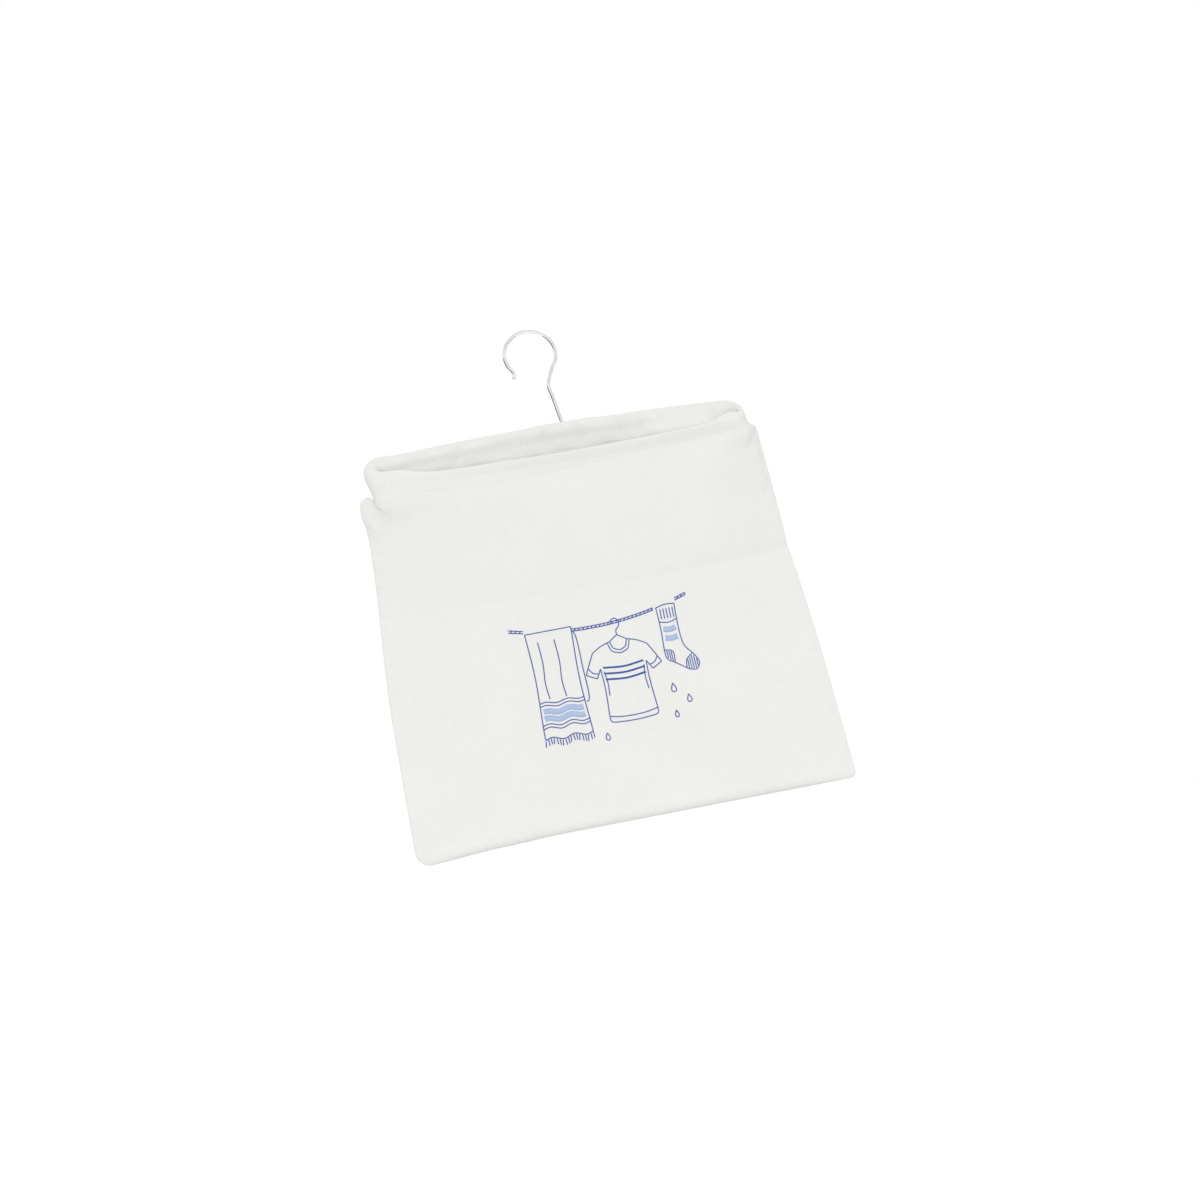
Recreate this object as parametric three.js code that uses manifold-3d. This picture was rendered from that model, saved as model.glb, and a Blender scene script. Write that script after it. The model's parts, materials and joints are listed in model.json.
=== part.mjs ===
// Peg bag: a flat cotton bag, its mouth held open by a wire ring in a cloth band, on a swivel hook.
// Millimetres, +Z up, the printed front faces -Y. The origin is the saddle of the hook, where a rail lies.
import * as THREE from "three";
import { mergeVertices } from "three/addons/utils/BufferGeometryUtils.js";
import Module from "manifold-3d";

// Driving dimensions: wire
const HOOK_WIRE_D = 3;
const FRAME_WIRE_D = 3;
const FRAME_HALF_WIDTH = 149;
const FRAME_END_RADIUS = 12;
const FRAME_SIDE_BOW = 6;
const FRAME_DROOP_DEG = 58;

// Hook: the swivel is a little right of the frame's middle, and the loop is measured from the swivel
const SWIVEL_X = 6;
const HOOK_LOOP_RADIUS = 21;
const HOOK_RISE = 68.5;
const HOOK_OFFSET = 13;
const HOOK_LOOP_START_DEG = -40;
const HOOK_LOOP_END_DEG = 218;
const HOOK_NECK_DEG = -72.5;
const HOOK_NECK_OUT = 9.8;
const HOOK_TIP_LENGTH = 7;
const HOOK_HEAD_D = 4.6;
const HOOK_HEAD_T = 1.2;
const HOOK_STRAIGHT_ABOVE_BAND = 1.5;

// Sleeve that joins the ends of the frame wire and carries the foot of the hook
const SLEEVE_LENGTH = 34;
const SLEEVE_WALL = 1.2;
const CRIMP_DEPTH = 0.45;
const CRIMP_WIDTH = 4;
const CRIMP_FROM_END = 5;

// Cloth: drops are measured down from the frame wire
const BAG_DROP = 316;
const PANEL_WIDTH = 320;
const PANEL_FOOT_WIDTH = 328;
const PANEL_T = 1.2;
const BAND_T = 1.1;
const CASING_TAPER = 6.5;
const BAND_TUCK = 10;
const BAND_PINCH = 5;
const BAND_RUN_OUT = 6;
const BULGE_PAST_SLEEVE = 3;
const BULGE_FADE = 12;
const EAR_DROP = 5;
const EAR_LIFT = 8;
const SEAM_FROM_BACK = 3.5;

// Shape of the bag's section: blunt under the frame, a slim lens from the middle of the bag down
const BLUNT_EDGE_POWER = 5;
const BLUNT_POWER = 0.9;
const LENS_EDGE_POWER = 2;
const LENS_POWER = 1.3;
const LENS_FROM = 26;
const LENS_TO = 140;

// How the section narrows downwards, how sharp the ears are, and how far from the middle the band runs out
const TAPER_POWER = 0.8;
const EAR_POWER = 20;
const RUN_OUT_FROM = 0.3;

// Clearances
const CLEAR = 0.3;
const CASING_CLEAR = 0.7;
const SHANK_CLEAR = 0.35;
const WIRE_END_GAP = 1.2;
const SEAM_CLEAR = 0.2;
const TUCK_CLEAR = 1;
const EAR_CLEAR = 2.2;

// Facets
const WIRE_SEGMENTS = 6;
const FRAME_STEPS = 120;
const HOOK_STEPS = 90;
const LOOP_POINTS = 18;
const END_COLUMNS = 5;
const SIDE_COLUMNS = 18;
const EAR_ROWS = 7;
const LOWER_ROWS = 8;
const LATHE_SEGMENTS = 20;

// Sizes that follow from these
const hookWireR = HOOK_WIRE_D / 2;
const frameWireR = FRAME_WIRE_D / 2;
const frameHalfDepth = FRAME_END_RADIUS + FRAME_SIDE_BOW;
const droop = THREE.MathUtils.degToRad(FRAME_DROOP_DEG);
const sleeveBoreR = frameWireR + CLEAR;
const sleeveR = sleeveBoreR + SLEEVE_WALL;
const shankHoleR = hookWireR + SHANK_CLEAR;
const headTop = sleeveR + CLEAR;
const headBottom = headTop + HOOK_HEAD_T;

// The band's two legs start to hold the panel at legTop. Above it they spread to the casing round the wire,
// which is wider round the sleeve and clears the hook's head.
const legTop = headBottom + CASING_TAPER;
const panelTop = legTop + TUCK_CLEAR;
const bandDrop = panelTop + BAND_TUCK;
const earTop = bandDrop + EAR_CLEAR;
const legOffset = PANEL_T / 2 + CLEAR;
const casingR = frameWireR + CASING_CLEAR;
const headShare = headBottom / legTop;
const bulgeForHead = (HOOK_HEAD_D / 2 + CLEAR - legOffset * headShare) / (1 - headShare);
const bulgeR = Math.max(sleeveR + CASING_CLEAR, bulgeForHead);
const bandTop = bulgeR + BAND_T;

const wasm = await Module();
wasm.setup();

const smooth = (from, to, x) => THREE.MathUtils.smoothstep(x, from, to);
const lerp = THREE.MathUtils.lerp;

// The frame is an oval of four arcs: two end bends and two long sides that bow out a little.
const endCentre = FRAME_HALF_WIDTH - FRAME_END_RADIUS;
const sideRadius =
  (endCentre ** 2 + frameHalfDepth ** 2 - FRAME_END_RADIUS ** 2) /
  (2 * (frameHalfDepth - FRAME_END_RADIUS));
const sideAngle = Math.asin(endCentre / (sideRadius - FRAME_END_RADIUS));
const endLength = FRAME_END_RADIUS * (Math.PI / 2 - sideAngle);
const sideLength = 2 * sideAngle * sideRadius;
const halfOval = 2 * endLength + sideLength;

// A point of the half oval, by its distance from the left end: x across, v out from the middle line
function ovalPoint(distance) {
  const mirrored = distance > halfOval / 2;
  const d = mirrored ? halfOval - distance : distance;
  let x = 0;
  let v = 0;
  if (d < endLength) {
    const turn = d / FRAME_END_RADIUS;
    x = -endCentre - FRAME_END_RADIUS * Math.cos(turn);
    v = FRAME_END_RADIUS * Math.sin(turn);
  } else {
    const turn = (d - endLength) / sideRadius - sideAngle;
    x = sideRadius * Math.sin(turn);
    v = frameHalfDepth - sideRadius * (1 - Math.cos(turn));
  }
  return { x: mirrored ? -x : x, v };
}

// Middle surface of the cloth. side is -1 in front and 1 behind, distance runs from the left seam to the
// right one, and drop is how far the point lies below the frame wire. Under the frame the cloth draws in at
// the left end and runs out at the right one. Below the band the oval turns into a shape with flat side
// seams, which lie near the back.
function clothPoint(side, distance, drop) {
  const open = Math.max(0, 1 - drop / BAG_DROP);
  const flat = smooth(earTop, earTop + EAR_DROP, drop);
  const seam = smooth(bandDrop - SEAM_CLEAR, earTop, drop) * (PANEL_T / 2 + SEAM_CLEAR);
  const ring = ovalPoint(distance);
  const across = (2 * distance) / halfOval - 1;
  const inward = lerp(BAND_PINCH, -BAND_RUN_OUT, smooth(RUN_OUT_FROM, 1, across));
  const pinched = 1 - (inward / FRAME_HALF_WIDTH) * Math.min(1, drop / bandDrop);
  const middleY = -frameHalfDepth * Math.cos(droop);
  const bulge = (side < 0 ? -2 * middleY - SEAM_FROM_BACK : SEAM_FROM_BACK) * open ** TAPER_POWER;
  const slim = smooth(LENS_FROM, LENS_TO, drop);
  const edgePower = lerp(BLUNT_EDGE_POWER, LENS_EDGE_POWER, slim);
  const section = Math.max(0, 1 - Math.abs(across) ** edgePower);
  const lens = bulge * section ** lerp(BLUNT_POWER, LENS_POWER, slim);
  const depth = lerp(ring.v * Math.cos(droop), lens, flat) + seam;
  const lift = EAR_LIFT * flat * open * Math.abs(across) ** EAR_POWER;
  const width = lerp(PANEL_FOOT_WIDTH, PANEL_WIDTH, open);
  return new THREE.Vector3(
    lerp(ring.x * pinched, (across * width) / 2, flat),
    lerp(middleY, -SEAM_FROM_BACK, flat) + side * depth,
    (side * ring.v - frameHalfDepth) * Math.sin(droop) * open - drop + lift,
  );
}

// A point of the cloth with its outward normal, and the direction up from it that is square to the wire
function clothFrame(side, distance, drop) {
  const step = 0.05;
  const left = clothPoint(side, Math.max(0, distance - step), drop);
  const right = clothPoint(side, Math.min(halfOval, distance + step), drop);
  const along = right.sub(left).normalize();
  const down = clothPoint(side, distance, drop + step).sub(clothPoint(side, distance, drop - step));
  const normal = along.clone().cross(down).multiplyScalar(side).normalize();
  const up = along.clone().cross(normal).multiplyScalar(side);
  return { point: clothPoint(side, distance, drop), normal, up };
}

function clothOffset(side, distance, drop, offset) {
  const { point, normal } = clothFrame(side, distance, drop);
  return point.addScaledVector(normal, offset);
}

// Distances of the cloth's columns: close together round the end bends, wide apart along the sides
function columnDistances(edge) {
  const stops = [];
  for (let i = 0; i < END_COLUMNS; i += 1) {
    stops.push(edge + ((endLength - edge) * i) / END_COLUMNS);
  }
  for (let i = 0; i <= SIDE_COLUMNS; i += 1) {
    stops.push(endLength + (sideLength * i) / SIDE_COLUMNS);
  }
  for (let i = 1; i <= END_COLUMNS; i += 1) {
    stops.push(halfOval - endLength + ((endLength - edge) * i) / END_COLUMNS);
  }
  return stops;
}

// A closed mesh from points and faces, turned to face out
function solid(points, faces) {
  const geometry = new THREE.BufferGeometry().setFromPoints(points);
  let volume = 0;
  for (const [a, b, c] of faces) {
    volume += points[a].dot(points[b].clone().cross(points[c]));
  }
  const out = volume > 0 ? faces : faces.map(([a, b, c]) => [a, c, b]);
  geometry.setIndex(out.flat());
  geometry.computeVertexNormals();
  return geometry;
}

function quad(faces, a, b, c, d) {
  faces.push([a, b, c], [a, c, d]);
}

// Rings of the same number of points, joined into one closed loop
function closedLoop(rings) {
  const count = rings[0].length;
  const faces = [];
  for (let i = 0; i < rings.length; i += 1) {
    const next = (i + 1) % rings.length;
    for (let j = 0; j < count; j += 1) {
      const k = (j + 1) % count;
      quad(faces, i * count + j, next * count + j, next * count + k, i * count + k);
    }
  }
  return solid(rings.flat(), faces);
}

// A sheet between two grids of points with the same rows and columns
function sheet(outer, inner) {
  const rows = outer.length;
  const columns = outer[0].length;
  const layer = rows * columns;
  const faces = [];
  for (let r = 0; r < rows - 1; r += 1) {
    for (let c = 0; c < columns - 1; c += 1) {
      const at = r * columns + c;
      quad(faces, at, at + 1, at + columns + 1, at + columns);
      quad(faces, layer + at, layer + at + columns, layer + at + columns + 1, layer + at + 1);
    }
  }
  const border = [];
  for (let c = 0; c < columns - 1; c += 1) border.push(c);
  for (let r = 0; r < rows - 1; r += 1) border.push(r * columns + columns - 1);
  for (let c = columns - 1; c > 0; c -= 1) border.push((rows - 1) * columns + c);
  for (let r = rows - 1; r > 0; r -= 1) border.push(r * columns);
  border.forEach((at, i) => {
    const next = border[(i + 1) % border.length];
    quad(faces, at, layer + at, layer + next, next);
  });
  return solid([...outer.flat(), ...inner.flat()], faces);
}

function toManifold(geometry) {
  const bare = geometry.clone();
  bare.deleteAttribute("normal");
  bare.deleteAttribute("uv");
  const merged = mergeVertices(bare, 1e-4);
  const vertProperties = new Float32Array(merged.attributes.position.array);
  const triVerts = new Uint32Array(merged.index.array);
  return new wasm.Manifold(new wasm.Mesh({ numProp: 3, vertProperties, triVerts }));
}

function fromManifold(manifold) {
  const mesh = manifold.getMesh();
  const geometry = new THREE.BufferGeometry();
  geometry.setAttribute("position", new THREE.BufferAttribute(mesh.vertProperties, 3));
  geometry.setIndex(new THREE.BufferAttribute(mesh.triVerts, 1));
  geometry.computeVertexNormals();
  return geometry;
}

function wireAlong(path, radius, steps) {
  const section = new THREE.Shape().absarc(0, 0, radius, 0, 2 * Math.PI);
  return new THREE.ExtrudeGeometry(section, {
    steps,
    curveSegments: WIRE_SEGMENTS,
    bevelEnabled: false,
    extrudePath: path,
  });
}

function uprightCylinder(radius, from, to) {
  const geometry = new THREE.CylinderGeometry(radius, radius, to - from, LATHE_SEGMENTS);
  return geometry.rotateX(Math.PI / 2).translate(0, 0, (from + to) / 2);
}

// The frame wire runs from one side of the hook's shank round the oval to the other side.
class FramePath extends THREE.Curve {
  getPoint(u, target = new THREE.Vector3()) {
    const gap = hookWireR + WIRE_END_GAP;
    const along = halfOval / 2 + SWIVEL_X + gap + u * 2 * (halfOval - gap);
    if (along < halfOval) return target.copy(clothPoint(1, along, 0));
    if (along < 2 * halfOval) return target.copy(clothPoint(-1, 2 * halfOval - along, 0));
    return target.copy(clothPoint(1, along - 2 * halfOval, 0));
  }
}

function mouthFrame() {
  return wireAlong(new FramePath(), frameWireR, FRAME_STEPS);
}

// A tube with a crimp groove near each end and a cross hole for the shank
function frameSleeve() {
  const half = SLEEVE_LENGTH / 2;
  const outline = [[sleeveBoreR, -half], [sleeveR, -half]];
  for (const side of [-1, 1]) {
    const groove = side * (half - CRIMP_FROM_END - CRIMP_WIDTH / 2);
    for (const across of [-0.5, -0.25, 0.25, 0.5]) {
      const depth = Math.abs(across) < 0.5 ? CRIMP_DEPTH : 0;
      outline.push([sleeveR - depth, groove + across * CRIMP_WIDTH]);
    }
  }
  outline.push([sleeveR, half], [sleeveBoreR, half], [sleeveBoreR, -half]);
  const tube = new THREE.LatheGeometry(outline.map(([r, z]) => new THREE.Vector2(r, z)), LATHE_SEGMENTS);
  const hole = uprightCylinder(shankHoleR, -2 * sleeveR, 2 * sleeveR);
  return fromManifold(toManifold(tube.rotateZ(Math.PI / 2)).subtract(toManifold(hole)));
}

// Shank, stem, neck bend, loop and tip, all in the XZ plane
function hookPath() {
  const loopPoint = (deg, radius) => {
    const angle = THREE.MathUtils.degToRad(deg);
    return new THREE.Vector3(
      -HOOK_OFFSET + radius * Math.cos(angle),
      0,
      HOOK_RISE + radius * Math.sin(angle),
    );
  };
  const neck = loopPoint(HOOK_NECK_DEG, HOOK_LOOP_RADIUS + HOOK_NECK_OUT);
  const shankTop = new THREE.Vector3(0, 0, bandTop + HOOK_STRAIGHT_ABOVE_BAND);
  const points = [
    new THREE.Vector3(0, 0, -(headTop + headBottom) / 2),
    new THREE.Vector3(0, 0, shankTop.z / 2),
    shankTop,
    shankTop.clone().lerp(neck, 0.25),
    shankTop.clone().lerp(neck, 0.7),
    neck,
  ];
  for (let i = 0; i <= LOOP_POINTS; i += 1) {
    points.push(loopPoint(lerp(HOOK_LOOP_START_DEG, HOOK_LOOP_END_DEG, i / LOOP_POINTS), HOOK_LOOP_RADIUS));
  }
  const loopEnd = points.at(-1);
  points.push(new THREE.Vector3(loopEnd.x, 0, loopEnd.z - HOOK_TIP_LENGTH));
  return new THREE.CatmullRomCurve3(points);
}

function hook() {
  const path = hookPath();
  const wire = toManifold(wireAlong(path, hookWireR, HOOK_STEPS));
  const head = toManifold(uprightCylinder(HOOK_HEAD_D / 2, -headBottom, -headTop));
  const end = new THREE.SphereGeometry(hookWireR, 2 * WIRE_SEGMENTS, WIRE_SEGMENTS);
  const tip = path.getPoint(1);
  end.translate(tip.x, tip.y, tip.z);
  return fromManifold(wire.add(head).add(toManifold(end)));
}

// Cross-section of the band at one place: over the wire in an arch, then a leg on each side of the panel.
// The casing bulges round the sleeve at the middle of the back.
function bandSection(side, distance) {
  const { point, normal, up } = clothFrame(side, distance, 0);
  const fromSleeve = Math.abs(distance - halfOval / 2 - SWIVEL_X) - SLEEVE_LENGTH / 2;
  const bulge = side > 0 ? 1 - smooth(BULGE_PAST_SLEEVE, BULGE_PAST_SLEEVE + BULGE_FADE, fromSleeve) : 0;
  const inside = lerp(casingR, bulgeR, bulge);
  const arch = (radius, deg) => {
    const angle = THREE.MathUtils.degToRad(deg);
    return point
      .clone()
      .addScaledVector(normal, radius * Math.cos(angle))
      .addScaledVector(up, radius * Math.sin(angle));
  };
  const at = (drop, offset) => clothOffset(side, distance, drop, offset);
  return [
    ...[0, 45, 90, 135, 180].map((deg) => arch(inside + BAND_T, deg)),
    at(legTop, -legOffset - BAND_T),
    at(bandDrop, -legOffset - BAND_T),
    at(bandDrop, -legOffset),
    at(legTop, -legOffset),
    ...[180, 120, 60, 0].map((deg) => arch(inside, deg)),
    at(legTop, legOffset),
    at(bandDrop, legOffset),
    at(bandDrop, legOffset + BAND_T),
    at((legTop + bandDrop) / 2, legOffset + BAND_T),
    at(legTop, legOffset + BAND_T),
  ];
}

function mouthBand() {
  const front = columnDistances(0);
  const middle = halfOval / 2 + SWIVEL_X;
  const bulgeEdge = SLEEVE_LENGTH / 2 + BULGE_PAST_SLEEVE;
  const bulgeStops = [0, 0.5, 1].map((share) => bulgeEdge + share * BULGE_FADE);
  const back = front
    .slice(1, -1)
    .filter((distance) => Math.abs(distance - middle) > bulgeEdge + BULGE_FADE + BULGE_PAST_SLEEVE)
    .concat(bulgeStops.map((d) => middle + d), bulgeStops.map((d) => middle - d), middle)
    .sort((a, b) => b - a);
  const rings = [
    ...front.map((distance) => bandSection(-1, distance)),
    ...back.map((distance) => bandSection(1, distance)),
  ];
  const buttonhole = uprightCylinder(shankHoleR, casingR / 2, 2 * bandTop).translate(SWIVEL_X, 0, 0);
  return fromManifold(toManifold(closedLoop(rings)).subtract(toManifold(buttonhole)));
}

// Rows are close together at the ear and wide apart below it.
function panel(side) {
  const earEnd = earTop + EAR_DROP;
  const drops = [panelTop];
  for (let i = 0; i <= EAR_ROWS; i += 1) {
    drops.push(lerp(bandDrop - SEAM_CLEAR, earEnd, i / EAR_ROWS));
  }
  for (let i = 1; i <= LOWER_ROWS; i += 1) {
    drops.push(lerp(earEnd, BAG_DROP, i / LOWER_ROWS));
  }
  const columns = columnDistances(SEAM_CLEAR);
  const grid = (offset) => drops.map((drop) => columns.map((d) => clothOffset(side, d, drop, offset)));
  return sheet(grid(PANEL_T / 2), grid(-PANEL_T / 2));
}

const cotton = { color: 0xeeeee9, roughness: 0.95, metalness: 0 };
const chromed = { color: 0xd5d7da, roughness: 0.12, metalness: 1 };
const zincPlated = { color: 0xb4b6b4, roughness: 0.4, metalness: 1 };

const bag = new THREE.Group();
bag.position.set(HOOK_OFFSET - SWIVEL_X, 0, -(HOOK_RISE + HOOK_LOOP_RADIUS - hookWireR));
const swivel = new THREE.Group();
swivel.position.x = SWIVEL_X;
bag.add(swivel);

function addPiece(group, name, geometry, finish) {
  const mesh = new THREE.Mesh(geometry, new THREE.MeshStandardMaterial(finish));
  mesh.name = name;
  group.add(mesh);
}

addPiece(swivel, "hook", hook(), chromed);
addPiece(swivel, "frame_sleeve", frameSleeve(), zincPlated);
addPiece(bag, "mouth_frame", mouthFrame(), zincPlated);
addPiece(bag, "mouth_band", mouthBand(), cotton);
addPiece(bag, "front_panel", panel(-1), cotton);
addPiece(bag, "back_panel", panel(1), cotton);

const part = new THREE.Group();
part.add(bag);
export default part;
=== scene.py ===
# Peg bag: white cotton with a blue print, on a swivel hook. A wire ring in its band holds the mouth open.
# Metres, +Z up, the printed front faces -Y. The origin is the saddle of the hook, where a rail lies.
import json
import math

import bpy
import numpy as np
from mathutils import Matrix, Vector, noise


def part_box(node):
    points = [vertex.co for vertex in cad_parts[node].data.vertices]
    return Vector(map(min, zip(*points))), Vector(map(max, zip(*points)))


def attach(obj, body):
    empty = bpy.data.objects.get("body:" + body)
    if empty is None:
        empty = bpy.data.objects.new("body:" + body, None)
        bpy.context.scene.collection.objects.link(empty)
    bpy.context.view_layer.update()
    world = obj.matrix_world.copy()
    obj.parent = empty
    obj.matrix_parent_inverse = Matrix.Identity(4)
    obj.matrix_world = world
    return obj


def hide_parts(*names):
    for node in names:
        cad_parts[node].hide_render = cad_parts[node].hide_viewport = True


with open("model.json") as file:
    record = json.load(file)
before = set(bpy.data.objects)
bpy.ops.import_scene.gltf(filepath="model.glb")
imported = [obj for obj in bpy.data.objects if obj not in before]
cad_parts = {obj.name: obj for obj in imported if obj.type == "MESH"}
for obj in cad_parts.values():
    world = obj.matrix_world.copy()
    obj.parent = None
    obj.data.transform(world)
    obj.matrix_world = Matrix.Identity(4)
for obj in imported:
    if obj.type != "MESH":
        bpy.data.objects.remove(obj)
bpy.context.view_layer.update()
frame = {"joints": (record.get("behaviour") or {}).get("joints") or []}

MM = 0.001
TINY = 1e-12

# Wire ring, as the solids have it. The bag's frame has its origin on the wire at the middle of the back.
FRAME_WIRE_R = 1.5 * MM
FRAME_END_R = 12 * MM
FRAME_HALF_DEPTH = 18 * MM
FRAME_DROOP = math.radians(58)
ring_low, ring_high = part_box("mouth_frame")
FRAME_HALF_WIDTH = (ring_high.x - ring_low.x) / 2 - FRAME_WIRE_R
BAG_AT = np.array([(ring_low.x + ring_high.x) / 2, ring_high.y - FRAME_WIRE_R, ring_high.z - FRAME_WIRE_R])
SWIVEL = Vector(frame["joints"][0]["pos_m"])
SWIVEL_X = SWIVEL.x - BAG_AT[0]

# Hook, measured from its loop's centre and from the swivel
HOOK_WIRE_R = 1.5 * MM
HOOK_LOOP_R = 21 * MM
HOOK_LOOP_FROM = math.radians(-40)
HOOK_LOOP_TO = math.radians(218)
HOOK_LOOP_POINTS = 19
HOOK_NECK_ANGLE = math.radians(-72.5)
HOOK_NECK_OUT = 9.8 * MM
HOOK_TIP_LENGTH = 7 * MM
HOOK_TIP_BLUNT = 0.02
HOOK_HEAD_R = 2.3 * MM
HOOK_HEAD_FROM = 3.3 * MM
HOOK_HEAD_TO = 4.5 * MM
HOOK_SHANK_TOP = 6.4 * MM
HOOK_STEM_SHARES = (0.25, 0.7)
HOOK_SIDES = 24
HOOK_STEP = 0.35 * MM

# Cloth: drops go down from the ring's wire. Run-outs, ear lifts and corner radii are left and right.
CLOTH_T = 0.7 * MM
BAG_DROP = BAG_AT[2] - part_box("back_panel")[0].z
MOUTH_WIDTH = 320 * MM
PANEL_TOP = 12 * MM
RUN_OUTS = (1 * MM, 6 * MM)
RIGHT_END_FROM = 0.3
LEFT_EAR_TOP = 24.2 * MM
RIGHT_EAR_TOP = 10 * MM
LEFT_EAR_DROP = 6.5 * MM
RIGHT_EAR_DROP = 18 * MM
EAR_LIFTS = (14 * MM, 11.5 * MM)
EAR_POWER = 20
NECK_DROP = 18 * MM
NECK_SHARE = 0.12
SEAM_FROM_BACK = 3.5 * MM
SEAM_GAP = 0.06 * MM
SEAM_ROLL = 1.3 * MM
SEAM_ALLOWANCE = 11 * MM
ALLOWANCE_EDGE = 3 * MM
ALLOWANCE_STEP = 0.6
FOOT_ROLL = 4.0 * MM
FOOT_ROLL_DEPTH = 6.5 * MM
FOOT_ROLL_UP = 60 * MM
FOOT_ROLL_FROM_SIDE = 40 * MM
BLUNT_POWERS = (5.0, 0.9)
LENS_POWERS = (2.0, 1.3)
LENS_OVER = (26 * MM, 140 * MM)
TAPER_POWER = 0.8
CORNER_RADII = (11 * MM, 5 * MM)

# Grid of a panel: a cell apart, and finer near its edges and the band's hem
CELL = 2.2 * MM
FINE_CELL = 0.18 * MM
FINE_REACH = 6 * MM
GRID_SAMPLES = 4000
ROWS_LEVEL_FROM = 60 * MM

# Band: the casing round the wire, wider round the sleeve, and a leg on each side of the panel.
# A leg's last two rows of points are close together, which keeps its hem crisp.
BAND_T = 0.55 * MM
BAND_DROP = 22 * MM
BAND_COLUMNS = 440
LEG_SHARES = (*np.linspace(0, 0.988, 16), 1)
ARCH_ROWS = 15
FRONT_CASING_R = 2.1 * MM
BACK_CASING_R = 4.0 * MM
SLEEVE_BULGE_R = 4.8 * MM
SLEEVE_HALF = 17 * MM
BULGE_PAST_SLEEVE = 3 * MM
BULGE_FADE = 12 * MM
LEG_OFFSET = 0.85 * MM
LEG_TOP = 11 * MM
HEM_T = 0.12 * MM
HEM_TAPER = 2 * MM
HEM_OFFSET = 1.03 * MM
FLUSH_RISE = 0.6 * MM
FRONT_HEM_DROP = 13.5 * MM
BACK_HEM_DROP = 16.5 * MM
RIGHT_HEM_DROP = 8 * MM
INNER_HEM_DROP = 20.8 * MM


def smooth(low, high, x):
    share = np.clip((x - low) / (high - low), 0, 1)
    return share * share * (3 - 2 * share)


def mix(a, b, share):
    return a + (b - a) * share


def hump(x, centre, width):
    return np.exp(-(((x - centre) / width) ** 2))


def unit(vectors):
    return vectors / np.maximum(np.linalg.norm(vectors, axis=-1, keepdims=True), TINY)


def cloth_noise(u, v, height, size, seed):
    """Smooth noise over cloth, up to its height either way, with hills about as wide as its size."""
    flat = [noise.noise((a / size, b / size, seed)) for a, b in zip(np.ravel(u), np.ravel(v))]
    return height * np.reshape(flat, np.shape(u))


# Camera: fitted to the photograph's view of the mouth, the corners and the hook
CAMERA_AT = (-0.1090, -0.8344, -0.4531)
CAMERA_AIM = (0.0095, -0.0100, -0.2363)
CAMERA_ROLL = math.radians(12.95)
CAMERA_LENS = 33.99
CAMERA_SENSOR = 36.0


def make_camera():
    data = bpy.data.cameras.new("camera")
    data.lens = CAMERA_LENS
    data.sensor_width = CAMERA_SENSOR
    camera = bpy.data.objects.new("camera", data)
    look = (Vector(CAMERA_AIM) - Vector(CAMERA_AT)).to_track_quat("-Z", "Y").to_matrix().to_4x4()
    camera.matrix_world = Matrix.Translation(CAMERA_AT) @ look @ Matrix.Rotation(-CAMERA_ROLL, 4, "Z")
    bpy.context.scene.collection.objects.link(camera)
    bpy.context.scene.camera = camera


make_camera()


# Node trees
def add(tree, kind, inputs=None, **settings):
    """A node with its settings. Its inputs go by name or number: a socket is linked, others are values."""
    node = tree.nodes.new(kind)
    for name, value in settings.items():
        setattr(node, name, value)
    for key, value in (inputs or {}).items():
        socket = node.inputs[key]
        if isinstance(value, bpy.types.NodeSocket):
            tree.links.new(value, socket)
        else:
            socket.default_value = value
    return node


def first(tree, kind, inputs=None, **settings):
    """The first output of a new node."""
    return add(tree, kind, inputs, **settings).outputs[0]


def math_node(tree, operation, *values):
    return first(tree, "ShaderNodeMath", dict(enumerate(values)), operation=operation)


def vector_math(tree, operation, inputs):
    return first(tree, "ShaderNodeVectorMath", inputs, operation=operation)


def new_tree(name, kind, inputs, outputs):
    """A node group with named sockets of the given types. Returns it, its input and its output sockets."""
    tree = bpy.data.node_groups.new(name, kind)
    for in_out, sockets in (("INPUT", inputs), ("OUTPUT", outputs)):
        for socket, holds in sockets.items():
            tree.interface.new_socket(socket, in_out=in_out, socket_type="NodeSocket" + holds)
    return tree, tree.nodes.new("NodeGroupInput").outputs, tree.nodes.new("NodeGroupOutput").inputs


def end_tree(tree, shape, material, result):
    """Ends a geometry tree with plain geometry in one material."""
    real = first(tree, "GeometryNodeRealizeInstances", {0: shape})
    shown = first(tree, "GeometryNodeSetMaterial", {"Geometry": real, "Material": material})
    tree.links.new(shown, result)


def noise_node(tree, place, scale, detail=2.0):
    return first(tree, "ShaderNodeTexNoise", {"Vector": place, "Scale": scale, "Detail": detail})


# Shared effect: the weave of cotton, which its inks take on too
FLAT_MAP = "flat"
WEAVE_PITCH = 0.55 * MM
WEAVE_DEPTH = 0.12 * MM
WEFT_STRETCH = (1.0, 9.0, 1.0)
WARP_STRETCH = (9.0, 1.0, 1.0)
WEFT_SCALE = 160.0
WARP_SCALE = 130.0
PATCH_SCALE = 14.0
UNEVEN_SHARE = 0.8
SHADE_SHARE = 0.5


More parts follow.
